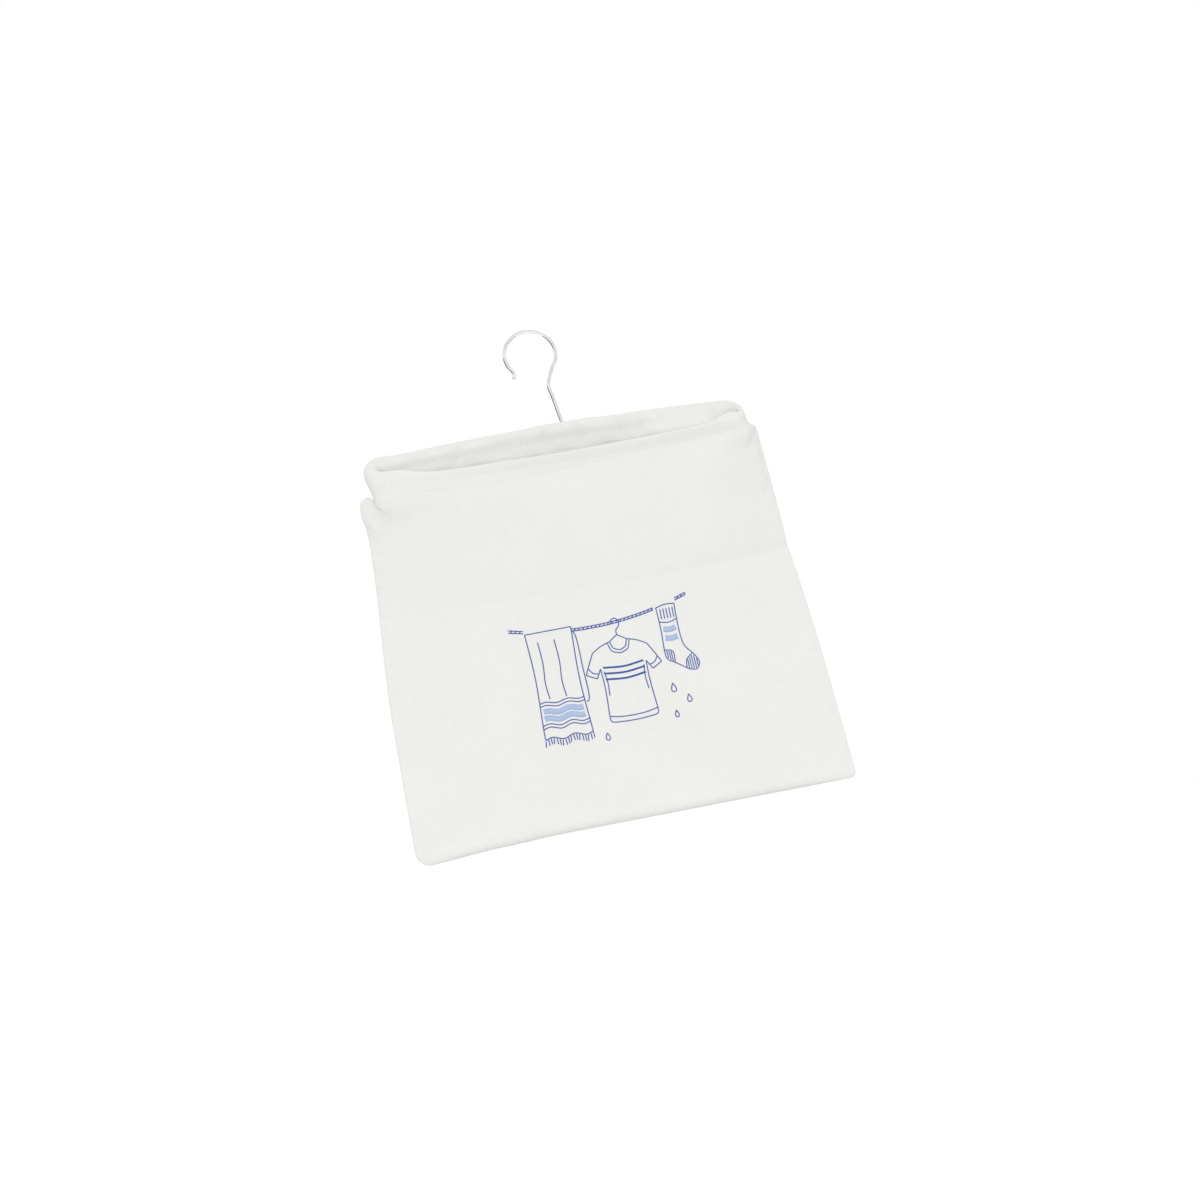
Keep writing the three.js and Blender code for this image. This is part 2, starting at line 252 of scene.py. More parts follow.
def make_weave():
    """Plain weave over a flat map in metres: its height, and a shade that varies from thread to thread."""
    inputs = {"Flat": "Vector", "Pitch": "Float"}
    outputs = {"Height": "Float", "Shade": "Float"}
    tree, given, result = new_tree("plain_weave", "ShaderNodeTree", inputs, outputs)
    flat = given["Flat"]
    turns = math_node(tree, "DIVIDE", math.pi, given["Pitch"])
    turned = vector_math(tree, "SCALE", {0: flat, "Scale": turns})
    parts = add(tree, "ShaderNodeSeparateXYZ", {0: turned}).outputs
    over = math_node(tree, "MULTIPLY", *(math_node(tree, "SINE", parts[axis]) for axis in "XY"))
    weft = noise_node(tree, vector_math(tree, "MULTIPLY", {0: flat, 1: WEFT_STRETCH}), WEFT_SCALE)
    warp = noise_node(tree, vector_math(tree, "MULTIPLY", {0: flat, 1: WARP_STRETCH}), WARP_SCALE)
    threads = math_node(tree, "ADD", weft, warp)
    tree.links.new(math_node(tree, "MULTIPLY_ADD", threads, UNEVEN_SHARE, over), result["Height"])
    patches = noise_node(tree, flat, PATCH_SCALE, detail=3.0)
    shade = math_node(tree, "MULTIPLY", math_node(tree, "ADD", threads, patches), SHADE_SHARE)
    tree.links.new(shade, result["Shade"])
    return tree


WEAVE = make_weave()


# Materials
COTTON_COLOURS = ((0.835, 0.835, 0.805), (0.895, 0.895, 0.868))
THREAD_COLOURS = ((0.80, 0.80, 0.77), (0.90, 0.90, 0.875))
INK_LINE_COLOURS = ((0.075, 0.115, 0.39), (0.15, 0.20, 0.50))
INK_TINT_COLOURS = ((0.40, 0.52, 0.78), (0.53, 0.63, 0.83))
INK_DARK_COLOURS = ((0.045, 0.10, 0.40), (0.09, 0.16, 0.48))
CHROME_COLOURS = ((0.66, 0.67, 0.69), (0.79, 0.80, 0.81))
ZINC_COLOURS = ((0.50, 0.51, 0.50), (0.66, 0.67, 0.66))
COTTON_FINISH = {"Roughness": 0.93, "Specular IOR Level": 0.25, "Sheen Weight": 0.12,
                 "Sheen Roughness": 0.6}
INK_FINISH = {"Roughness": 0.85, "Specular IOR Level": 0.25}
THREAD_FINISH = {"Roughness": 0.7, "Sheen Weight": 0.2}
SHADE_RANGE = (0.5, 1.0)
COTTON_BUMP = 0.35
INK_BUMP = 0.3
FIBRE_SCALE = 2400.0
FIBRE_RANGE = (0.3, 0.7)
FIBRE_BUMP = 0.4
FIBRE_DEPTH = 0.1 * MM
CLOUD_SCALE = 90.0
CLOUD_RANGE = (0.35, 0.65)

# Numbers of a mix node's colour sockets, which share their names with its other sockets
MIX_A = 6
MIX_B = 7
MIX_RESULT = 2


def new_material(name, finish):
    """A material with the plain values of a finish. Returns it, its tree and its shader."""
    material = bpy.data.materials.new(name)
    material.use_nodes = True
    tree = material.node_tree
    shader = tree.nodes["Principled BSDF"]
    for key, value in finish.items():
        shader.inputs[key].default_value = value
    return material, tree, shader


def paint(tree, shader, value, low, high, colours):
    """Gives a shader a colour between two, as value goes from low to high."""
    share = first(tree, "ShaderNodeMapRange", {"Value": value, "From Min": low, "From Max": high})
    start, end = ((*colour, 1) for colour in colours)
    blend = add(tree, "ShaderNodeMix", {0: share, MIX_A: start, MIX_B: end}, data_type="RGBA")
    tree.links.new(blend.outputs[MIX_RESULT], shader.inputs["Base Color"])


def bump_from(tree, shader, height, strength, distance):
    bump = first(tree, "ShaderNodeBump", {"Height": height, "Strength": strength, "Distance": distance})
    tree.links.new(bump, shader.inputs["Normal"])


def make_woven(name, colours, bump, finish):
    """Cotton, or ink on it: the weave shows in its bump and its shades."""
    material, tree, shader = new_material(name, finish)
    flat = add(tree, "ShaderNodeUVMap", uv_map=FLAT_MAP).outputs["UV"]
    weave = add(tree, "ShaderNodeGroup", {"Flat": flat, "Pitch": WEAVE_PITCH}, node_tree=WEAVE)
    bump_from(tree, shader, weave.outputs["Height"], bump, WEAVE_DEPTH)
    paint(tree, shader, weave.outputs["Shade"], *SHADE_RANGE, colours)
    return material


def make_thread():
    material, tree, shader = new_material("thread", THREAD_FINISH)
    place = add(tree, "ShaderNodeTexCoord").outputs["Object"]
    fibres = noise_node(tree, place, FIBRE_SCALE)
    paint(tree, shader, fibres, *FIBRE_RANGE, THREAD_COLOURS)
    bump_from(tree, shader, fibres, FIBRE_BUMP, FIBRE_DEPTH)
    return material


def make_metal(name, colours, roughness, grain):
    """Plated wire: fine draw marks change its roughness, and larger clouds its colour."""
    material, tree, shader = new_material(name, {"Metallic": 1.0})
    place = add(tree, "ShaderNodeTexCoord").outputs["Object"]
    clouds = noise_node(tree, place, CLOUD_SCALE, detail=3.0)
    marks = noise_node(tree, place, grain, detail=4.0)
    paint(tree, shader, clouds, *CLOUD_RANGE, colours)
    least, most = roughness
    rough = first(tree, "ShaderNodeMapRange", {"Value": marks, "To Min": least, "To Max": most})
    tree.links.new(rough, shader.inputs["Roughness"])
    return material


COTTON = make_woven("cotton", COTTON_COLOURS, COTTON_BUMP, COTTON_FINISH)
THREAD = make_thread()
INK_LINE = make_woven("ink_line", INK_LINE_COLOURS, INK_BUMP, INK_FINISH)
INK_TINT = make_woven("ink_tint", INK_TINT_COLOURS, INK_BUMP, INK_FINISH)
INK_DARK = make_woven("ink_dark", INK_DARK_COLOURS, INK_BUMP, INK_FINISH)
CHROME = make_metal("chromed_wire", CHROME_COLOURS, roughness=(0.06, 0.2), grain=900.0)
ZINC = make_metal("zinc_plated_steel", ZINC_COLOURS, roughness=(0.3, 0.5), grain=600.0)


# Meshes
NO_WRAP = 1e6
INNER_LAYER_SHIFT = np.array([1.0, 0.0])


def link(name, data):
    piece = bpy.data.objects.new(name, data)
    bpy.context.scene.collection.objects.link(piece)
    return piece


def mesh_piece(name, points, faces, material, corners):
    """A smooth mesh of quads, from points in the bag's frame, with a flat map of its corners."""
    mesh = bpy.data.meshes.new(name)
    mesh.from_pydata((points + BAG_AT).tolist(), [], faces)
    mesh.shade_smooth()
    mesh.materials.append(material)
    mesh.uv_layers.new(name=FLAT_MAP).data.foreach_set("uv", corners.ravel())
    return link(name, mesh)


def grid_faces(rows, columns, closed):
    """Quads of a grid of points, whose last column joins the first if it is closed."""
    faces = []
    for row in range(0, (rows - 1) * columns, columns):
        for left in range(columns if closed else columns - 1):
            right = (left + 1) % columns
            faces.append((row + left, row + columns + left, row + columns + right, row + right))
    return faces


def border_loops(rows, columns, closed):
    """Runs of point numbers round the open edges of a grid, in the order that faces its rim outwards."""
    top = list(range(columns))
    foot = [(rows - 1) * columns + c for c in range(columns)]
    if closed:
        return [top, foot[::-1]]
    left = [r * columns for r in range(rows)]
    right = [r * columns + columns - 1 for r in range(rows)]
    return [top + right[1:] + foot[::-1][1:] + left[::-1][1:-1]]


def grid_normals(points, closed):
    """Outward normals of a grid. Seen from outside, its columns go on to the right and its rows go down."""
    if closed:
        along = np.roll(points, -1, axis=1) - np.roll(points, 1, axis=1)
    else:
        along = np.gradient(points, axis=1)
    return unit(np.cross(np.gradient(points, axis=0), along))


def way_down(points):
    """The mean way down a grid from its first row to each row."""
    steps = np.linalg.norm(np.diff(points, axis=0), axis=-1).mean(axis=1)
    return np.concatenate([[0], np.cumsum(steps)])


def sheet_map(flat, faces, wrap):
    """The flat map at the faces' corners. Past the end of a closed sheet it goes on by wrap."""
    corners = flat.reshape(-1, 2)[np.ravel(faces)].reshape(-1, 4, 2)
    width = corners[..., 0]
    width += wrap * (width.max(axis=1, keepdims=True) - width > wrap / 2)
    return corners


def sheet_piece(name, points, flat, thickness, wrap=NO_WRAP):
    """A sheet of cloth: an outer and an inner layer half a thickness from the points given, and a rim."""
    rows, columns = points.shape[:2]
    closed = wrap < NO_WRAP
    count = rows * columns
    offset = grid_normals(points, closed) * thickness / 2
    outer = grid_faces(rows, columns, closed)
    turned = [face[::-1] for face in outer]
    inner = [tuple(at + count for at in face) for face in turned]
    rim = [pair for loop in border_loops(rows, columns, closed) for pair in zip(loop, loop[1:] + loop[:1])]
    faces = outer + inner + [(a, b, b + count, a + count) for a, b in rim]
    maps = [
        sheet_map(flat, outer, wrap),
        sheet_map(flat, turned, wrap) + INNER_LAYER_SHIFT,
        sheet_map(flat, [(a, b, b, a) for a, b in rim], wrap),
    ]
    layers = np.concatenate([(points + offset).reshape(-1, 3), (points - offset).reshape(-1, 3)])
    return mesh_piece(name, layers, faces, COTTON, np.concatenate(maps))


def plain_copy(piece):
    """The piece with its modifiers as a plain mesh, in its place."""
    name = piece.name
    depsgraph = bpy.context.evaluated_depsgraph_get()
    mesh = bpy.data.meshes.new_from_object(piece.evaluated_get(depsgraph), depsgraph=depsgraph)
    bpy.data.objects.remove(piece)
    mesh.name = name
    return link(name, mesh)


def grow(piece, tree, values):
    """Runs a node tree on the piece, with inputs set by name, and returns the result as a plain mesh."""
    modifier = piece.modifiers.new(tree.name, "NODES")
    modifier.node_group = tree
    for item in tree.interface.items_tree:
        if item.in_out == "INPUT" and item.name in values:
            modifier[item.identifier] = values[item.name]
    return plain_copy(piece)


# Shape of the ring and of the collar of cloth that hangs from it
END_CENTRE = FRAME_HALF_WIDTH - FRAME_END_R
SIDE_R = (END_CENTRE**2 + FRAME_HALF_DEPTH**2 - FRAME_END_R**2) / (2 * (FRAME_HALF_DEPTH - FRAME_END_R))
SIDE_ANGLE = math.asin(END_CENTRE / (SIDE_R - FRAME_END_R))
END_LENGTH = FRAME_END_R * (math.pi / 2 - SIDE_ANGLE)
HALF_OVAL = 2 * END_LENGTH + 2 * SIDE_ANGLE * SIDE_R
RING_MIDDLE_Y = -FRAME_HALF_DEPTH * math.cos(FRAME_DROOP)


def oval(across):
    """x and depth on half the oval of four arcs, for across from -1 at the left end to 1 at the right."""
    distance = (1 - np.abs(across)) * HALF_OVAL / 2
    at_end = distance < END_LENGTH
    turn = np.where(at_end, distance / FRAME_END_R, (distance - END_LENGTH) / SIDE_R - SIDE_ANGLE)
    x = np.where(at_end, END_CENTRE + FRAME_END_R * np.cos(turn), -SIDE_R * np.sin(turn))
    depth = np.where(at_end, FRAME_END_R * np.sin(turn), FRAME_HALF_DEPTH - SIDE_R * (1 - np.cos(turn)))
    return np.sign(across) * x, depth


def right_end(across):
    """0 on most of the mouth, and 1 at its right end, where the cloth meets the seam without a notch."""
    return smooth(RIGHT_END_FROM, 1, across)


def open_share(drop):
    """How open the bag is at a drop: 1 at the ring, and 0 at the foot."""
    return np.clip(1 - drop / BAG_DROP, 0, 1)


def collar_point(side, across, drop):
    """The tilted ring, and the cloth that hangs from it, which runs out a little below it at the ends."""
    x, depth = oval(across)
    run_out = mix(*RUN_OUTS, right_end(across)) / FRAME_HALF_WIDTH
    x = x * (1 + run_out * np.minimum(1, drop / BAND_DROP))
    y = RING_MIDDLE_Y + side * depth * math.cos(FRAME_DROOP)
    z = (side * depth - FRAME_HALF_DEPTH) * math.sin(FRAME_DROOP) * open_share(drop) - drop
    return np.stack(np.broadcast_arrays(x, y, z), axis=-1)


# Shape of the flat bag, whose left edge swings out more than its right one, below a small ear
LEFT_TUCK = 0.6 * MM
RIGHT_TUCK = 0.4 * MM
FOOT_LEFT = 166 * MM
FOOT_RIGHT = 162.3 * MM
LEFT_SWING = (60 * MM, 215 * MM)
RIGHT_SWING = (110 * MM, 230 * MM)
EAR_OUT = 2.6 * MM
EAR_SPREAD = (42 * MM, 12 * MM)
EAR_ROUND = 6 * MM
EAR_ROUND_OVER = (28 * MM, 34 * MM)
KINK_AT = -0.55
KINK_WIDTH = 0.09
KINK_DIP = 0.9 * MM
FOOT_RISES = (1.6 * MM, 4.6 * MM, -1.6 * MM)
FOOT_RISE_POWER = 3


def half_width(across, drop):
    """Half the flat bag's width, on the side that across is on."""
    left = mix(MOUTH_WIDTH / 2 - LEFT_TUCK, FOOT_LEFT, smooth(*LEFT_SWING, drop))
    left = left + EAR_OUT * hump(drop, *EAR_SPREAD) - EAR_ROUND * (1 - smooth(*EAR_ROUND_OVER, drop))
    right = mix(MOUTH_WIDTH / 2 - RIGHT_TUCK, FOOT_RIGHT, smooth(*RIGHT_SWING, drop))
    return np.where(across < 0, left, right)


def foot_lift(across):
    """How far the foot's edge is above its level: it rises to a soft kink left of the middle."""
    rise = np.interp(across, (-1, KINK_AT, 1), FOOT_RISES)
    return rise - KINK_DIP * hump(across, KINK_AT, KINK_WIDTH)


def seam_roll(side_gap, foot_gap):
    """A turned seam is round at its edge, fuller along the foot, and thick as far as its allowance goes."""
    share = np.clip(side_gap / SEAM_ROLL, 0, 1)
    foot_share = np.clip(foot_gap / FOOT_ROLL_DEPTH, 0, 1)
    inside = smooth(SEAM_ALLOWANCE - ALLOWANCE_EDGE, SEAM_ALLOWANCE, np.minimum(side_gap, foot_gap))
    at_foot = (1 - smooth(0, FOOT_ROLL_UP, foot_gap)) * smooth(0, FOOT_ROLL_FROM_SIDE, side_gap)
    height = mix(SEAM_ROLL, FOOT_ROLL, at_foot) * (1 - ALLOWANCE_STEP * inside)
    return height * np.sqrt((1 - (1 - share) ** 2) * (1 - (1 - foot_share) ** 2))


def round_corner(across, side_gap, foot_gap):
    """Moves points near the foot's corners so that the corners are round."""
    radius = np.where(across < 0, *CORNER_RADII)
    i = np.clip(1 - side_gap / radius, 0, 1)
    j = np.clip(1 - foot_gap / radius, 0, 1)
    side_gap = side_gap + radius * i * (1 - np.sqrt(1 - j**2 / 2))
    foot_gap = foot_gap + radius * j * (1 - np.sqrt(1 - i**2 / 2))
    return side_gap, foot_gap


def fullness(side, across, drop):
    """How far a panel stands off the seams: blunt under the ring, and like a lens further down."""
    middle = np.where(side < 0, -2 * RING_MIDDLE_Y - SEAM_FROM_BACK, SEAM_FROM_BACK)
    lens = smooth(*LENS_OVER, drop)
    inner, outer = (mix(blunt, slim, lens) for blunt, slim in zip(BLUNT_POWERS, LENS_POWERS))
    return middle * open_share(drop) ** TAPER_POWER * np.clip(1 - np.abs(across) ** inner, 0, 1) ** outer


def below_ear(across, drop):
    """0 on the collar, and 1 on the flat bag below the ears."""
    top = mix(LEFT_EAR_TOP, RIGHT_EAR_TOP, right_end(across))
    left_drop = mix(LEFT_EAR_DROP, NECK_DROP, smooth(0, NECK_SHARE, 1 - np.abs(across)))
    return smooth(top, top + mix(left_drop, RIGHT_EAR_DROP, right_end(across)), drop)


def panel_point(side, across, drop):
    """Middle surface of a panel, and the way to its nearest seam. side is -1 in front and 1 behind."""
    collar = collar_point(side, across, drop)
    width = half_width(across, drop)
    gaps = (1 - np.abs(across)) * width, BAG_DROP - drop
    side_gap, foot_gap = round_corner(across, *gaps)
    ear_lift = np.where(across < 0, *EAR_LIFTS) * np.abs(across) ** EAR_POWER
    lift = ear_lift * open_share(drop) + foot_lift(across) * (drop / BAG_DROP) ** FOOT_RISE_POWER
    x = np.sign(across) * (width - side_gap)
    y = -SEAM_FROM_BACK + side * (fullness(side, across, drop) + seam_roll(*gaps) + SEAM_GAP)
    z = collar[..., 2] + drop - (BAG_DROP - foot_gap) + lift
    bag = np.stack([x, y, z], axis=-1)
    return mix(collar, bag, below_ear(across, drop)[..., None]), np.minimum(*gaps)


# Panels: two sheets, sewn to each other at their sides and foot, with the band at their tops
CREASE_Z = -138 * MM
CREASE_X = 20 * MM
CREASE_CURVE = 0.35
CREASE_DEPTH = 2.2 * MM
CREASE_WIDTH = 7 * MM
CREASE_SHARES = (0.3, 1.6)
CREASE_SHARPENS = (-20 * MM, 140 * MM)
CREASE_SLOPE_DEPTH = 2.2 * MM
CREASE_SLOPE_WIDTH = 45 * MM
CREASE_BELOW_HEM = 20 * MM
NECK_DEPTH = 0.8 * MM
NECK_ACROSS = (-130 * MM, 40 * MM)
NECK_DOWN = (34 * MM, 7 * MM)
PUCKER_DEPTH = 0.3 * MM
PUCKER_WAVE = 11 * MM
PUCKER_DRIFT = (9, 40 * MM)
PUCKER_SPREAD = (6 * MM, 5 * MM)
CORNER_TURN = (-1 * MM, 3 * MM)
SLACK = (2.6 * MM, 85 * MM)
SLACK_BELOW_HEM = (2 * MM, 16 * MM)
SLACK_FROM_EDGE = 16 * MM
FINE_SLACK = (0.4 * MM, 32 * MM)
FINE_SLACK_SEED = 5
FLUSH_FADE = (8 * MM, 45 * MM)
FOLDS_BELOW_HEM = 6 * MM
FOLDS_FROM_EDGE = 5 * MM
MOST_INWARD = 0.4
LEAST_ROOM = 0.1 * MM
PANEL_SEEDS = {-1: 3.7, 1: 11.3}


def graded(length, fine_at):
    """Places along a length: close together near the given ones, and a cell apart elsewhere."""
    dense = np.linspace(0, length, GRID_SAMPLES)
    gap = np.min([np.abs(dense - at) for at in fine_at], axis=0)
    pace = 1 / mix(FINE_CELL, CELL, smooth(0, FINE_REACH, gap))
    count = np.concatenate([[0], np.cumsum((pace[1:] + pace[:-1]) / 2 * np.diff(dense))])
    return np.interp(np.linspace(0, count[-1], round(count[-1]) + 1), count, dense)


def storage_crease(x, z):
    """How far a fold from lying in store pushes both panels back. It is sharper towards the right."""
    off = np.abs(z - CREASE_Z - CREASE_CURVE * (x - CREASE_X) ** 2)
    sharp = CREASE_DEPTH * mix(*CREASE_SHARES, smooth(*CREASE_SHARPENS, x))
    return sharp * np.exp(-off / CREASE_WIDTH) + CREASE_SLOPE_DEPTH * np.exp(-off / CREASE_SLOPE_WIDTH)


def neck_fold(x, drop):
    """At the left end the cloth falls in under the band."""
    return -NECK_DEPTH * hump(x, *NECK_ACROSS) * hump(drop, *NECK_DOWN)


def seam_puckers(x, drop, edge, seed):
    """Small ripples square to the seams."""
    at_side = smooth(*CORNER_TURN, BAG_DROP - drop - edge)
    along = mix(x, drop, at_side)
    drift = cloth_noise(along, along * 0, *PUCKER_DRIFT, seed)
    ripple = np.sin(2 * math.pi * along / PUCKER_WAVE + drift)
    return PUCKER_DEPTH * ripple * hump(edge, *PUCKER_SPREAD)


def panel_relief(side, points, drop, hem, edge):
    """How far the cloth stands out from its smooth form: as high as the hem, and nothing at the seams."""
    x, z = points[..., 0], points[..., 2]
    seed = PANEL_SEEDS[side]
    below_hem = drop - hem
    slack = cloth_noise(x, z, *SLACK, seed) + cloth_noise(x, z, *FINE_SLACK, seed + FINE_SLACK_SEED)
    slack *= smooth(*SLACK_BELOW_HEM, below_hem) * smooth(0, SLACK_FROM_EDGE, edge)
    flush = FLUSH_RISE * smooth(-HEM_TAPER, 0, below_hem) * (1 - smooth(*FLUSH_FADE, below_hem))
    folds = (neck_fold(x, drop) + seam_puckers(x, drop, edge, seed)) * smooth(0, FOLDS_BELOW_HEM, below_hem)
    relief = slack + (flush + folds) * smooth(0, FOLDS_FROM_EDGE, edge)
    room = MOST_INWARD * side * (points[..., 1] + SEAM_FROM_BACK) + LEAST_ROOM
    return np.where(relief < 0, room * np.tanh(relief / room), relief)


def flat_cloth(points):
    """The flat map of a panel: its width as it lies, and its length down from its top."""
    length = np.broadcast_to(way_down(points)[:, None], points.shape[:2])
    return np.stack([points[..., 0], -length], axis=-1)


def make_panel(name, side):
    """The front for side -1 and the back for 1. Its upper rows follow the band's hem."""
    foot = BAG_DROP - PANEL_TOP
    drops = PANEL_TOP + graded(foot, (BAND_DROP - PANEL_TOP, LEFT_EAR_TOP - PANEL_TOP, foot))
    acrosses = -side * (2 * graded(MOUTH_WIDTH, (0, MOUTH_WIDTH)) / MOUTH_WIDTH - 1)
    across, drop = np.meshgrid(acrosses, drops)
    turn = (across + 1) / 2 if side < 0 else (3 - across) / 2
    hem = outer_hem(turn)
    drop = drop - (BAND_DROP - hem) * np.interp(drop, (0, BAND_DROP, ROWS_LEVEL_FROM), (0, 1, 0))
    points, edge = panel_point(side, across, drop)
    flat = flat_cloth(points)
    relief = panel_relief(side, points, drop, hem, edge) - casing_hollow(turn, drop)
    points = points + grid_normals(points, False) * relief[..., None]
    crease = storage_crease(points[..., 0], points[..., 2])
    points[..., 1] += crease * smooth(0, CREASE_BELOW_HEM, drop - hem)
    return sheet_piece(name, points, flat, CLOTH_T)


# Band: one strip folded over the ring, with a leg on each side of the panels' tops
AXES_STEP = 0.002
LEFT_END_PUFF = 3.5 * MM
LEFT_END_WIDTH = 18 * MM
LEFT_ARCH = (5 * MM, 26 * MM, 17 * MM, 12 * MM)
RIGHT_ARCH = (6 * MM, 16 * MM, 16 * MM, 14 * MM)
LEFT_HEM_RISE = (5 * MM, 40 * MM)
FRONT_HEM_RISE = (90 * MM, 190 * MM)
BACK_HEM_RISE = (0, 60 * MM)
HOLLOW_DEPTH = 2.5 * MM
HOLLOW_DROP = 6 * MM
HOLLOW_FADE = 45 * MM
HOLLOW_FROM_LEFT = (30 * MM, 100 * MM)
HOLLOW_FROM_RIGHT = 50 * MM
LOOSE_FROM = (6 * MM, 40 * MM)
LOOSE_TO = (55 * MM, 105 * MM)
LOOSE_LONGER = 7 * MM
LOOSE_OUT = 7 * MM
LOOSE_OUT_AT = 17 * MM
INNER_HEM_RISE = 5 * MM
INNER_HEM_RISE_OVER = 45 * MM
INNER_HEM_WAVE = (2 * MM, 30 * MM, 2.5)
GATHERS = (5 * MM, 22 * MM, 4.4)
RIPPLE = (0.4 * MM, 14 * MM)
RIPPLE_SEED = 6
RIPPLE_FROM = 6 * MM
RIPPLE_POWER = 4
HOLE_R = 2.2 * MM
HOLE_CUT = 12 * MM
HOLE_UP = 7 * MM
HOLE_SIDES = 32


def in_front(turn):
    """Whether turn is in front. It goes from 0 at the left end to 1 at the right end, and back to 2."""
    return np.mod(turn, 2) < 1


def from_ends(turn):
    """The ways along the ring from the mouth's left end and from its right end."""
    from_left = HALF_OVAL * np.abs(np.mod(turn + 1, 2) - 1)
    return from_left, HALF_OVAL - from_left


def ring_point(turn, drop):
    """A point on the collar."""
    turn = np.mod(turn, 2)
    front = turn < 1
    return collar_point(np.where(front, -1, 1), np.where(front, 2 * turn - 1, 3 - 2 * turn), drop)


def ring_axes(turn):
    """The directions along the ring, out from the cloth and up it."""
    along = unit(ring_point(turn + AXES_STEP, LEG_TOP) - ring_point(turn - AXES_STEP, LEG_TOP))
    down = unit(ring_point(turn, BAND_DROP) - ring_point(turn, 0 * turn))
    out = unit(np.cross(down, along))
    return along, out, np.cross(out, along)


def left_end(turn):
    """1 at the mouth's left end, where the band is puffed out, and 0 away from it."""
    return hump(from_ends(turn)[0], 0, LEFT_END_WIDTH)


def casing_radius(turn):
    """The casing is tight on the wire in front and loose behind, most of all round the sleeve."""
    x, y, _ = np.moveaxis(ring_point(turn, 0 * turn), -1, 0)
    from_sleeve = np.abs(x - SWIVEL_X) - SLEEVE_HALF - BULGE_PAST_SLEEVE
    bulge = (1 - smooth(0, BULGE_FADE, from_sleeve)) * ~in_front(turn)
    casing = mix(FRONT_CASING_R, BACK_CASING_R, smooth(RING_MIDDLE_Y, 0, y))
    return mix(casing, SLEEVE_BULGE_R, bulge) + LEFT_END_PUFF * left_end(turn)


def outer_hem(turn):
    """The drop of the outer leg's hem, which is low at the left end and high at the right one."""
    from_left, from_right = from_ends(turn)
    front = in_front(turn)
    level = np.where(front, FRONT_HEM_DROP, BACK_HEM_DROP)
    rise = np.where(front, smooth(*FRONT_HEM_RISE, from_right), smooth(*BACK_HEM_RISE, from_right))
    return mix(RIGHT_HEM_DROP, mix(BAND_DROP, level, smooth(*LEFT_HEM_RISE, from_left)), rise)


def casing_hollow(turn, drop):
    """How far the front's cloth falls in under its casing, in a hollow that fades out below."""
    from_left, from_right = from_ends(turn)
    inside = smooth(*HOLLOW_FROM_LEFT, from_left) * smooth(0, HOLLOW_FROM_RIGHT, from_right)
    depth = np.clip(drop / HOLLOW_DROP, 0, 1) * (1 - smooth(HOLLOW_DROP, HOLLOW_FADE, drop))
    return HOLLOW_DEPTH * inside * depth * in_front(turn)


def loose_leg(turn):
    """1 in the right part of the back, where the inner leg hangs loose, and 0 elsewhere."""
    from_right = from_ends(turn)[1]
    return smooth(*LOOSE_FROM, from_right) * (1 - smooth(*LOOSE_TO, from_right)) * ~in_front(turn)


def inner_hem(turn):
    """The drop of the inner leg's hem, which waves, is low where it is loose and high at the right end."""
    along = turn * HALF_OVAL
    wave = cloth_noise(along, 0 * along, *INNER_HEM_WAVE)
    rise = INNER_HEM_RISE * (1 - smooth(0, INNER_HEM_RISE_OVER, from_ends(turn)[1]))
    return INNER_HEM_DROP + LOOSE_LONGER * loose_leg(turn) - rise + wave


def leg_offset(turn, drop, hem):
    """How far a leg's middle is from the panel's: wide at the wire, and close below."""
    close = mix(LEG_OFFSET, HEM_OFFSET, smooth(hem - HEM_TAPER, hem, drop))
    close_from = np.minimum(mix(LEG_TOP, BAND_DROP, left_end(turn)), hem)
    return mix(casing_radius(turn), close, smooth(0, close_from, drop))


def leg_ripple(turn, drop, hem, sign):
    """Soft ripples, the gathers and the loose leg inside the back, and the hollow of the front."""
    along = turn * HALF_OVAL
    ripple = cloth_noise(along, drop, *RIPPLE, RIPPLE_SEED + sign)
    loose = 0
    if sign < 0:
        ripple += cloth_noise(along, 0 * along, *GATHERS) * ~in_front(turn)
        loose = LOOSE_OUT * loose_leg(turn) * np.minimum(drop / LOOSE_OUT_AT, 1)
    ripple = np.abs(ripple) * smooth(0, RIPPLE_FROM, drop) * (1 - (drop / hem) ** RIPPLE_POWER)
    return ripple - sign * casing_hollow(turn, drop) + loose


def leg_rows(turn, hem, sign):
    """Rows of points down one leg from the wire, on its outside for sign 1 and its inside for -1."""
    out = ring_axes(turn)[1]
    rows = []
    for share in LEG_SHARES:
        drop = hem * share
        offset = leg_offset(turn, drop, hem) + leg_ripple(turn, drop, hem, sign)
        rows.append(ring_point(turn, drop) + out * (sign * offset)[:, None])
    return rows


def arch_lift(turn):
    """How far the casing stands up above the wire, which it does in front near the ends."""
    lift = 0
    for way, (height, middle, width, rise) in zip(from_ends(turn), (LEFT_ARCH, RIGHT_ARCH)):
        lift = lift + height * hump(way, middle, width) * smooth(0, rise, way)
    return lift * in_front(turn)


def arch_rows(turn):
    """Rows of points over the wire, from the inside to the outside."""
    _, out, up = ring_axes(turn)
    width = casing_radius(turn)[:, None]
    height = width + arch_lift(turn)[:, None]
    middle = ring_point(turn, 0 * turn)
    angles = np.linspace(math.pi, 0, ARCH_ROWS)[1:-1]
    return [middle + out * width * math.cos(angle) + up * height * math.sin(angle) for angle in angles]


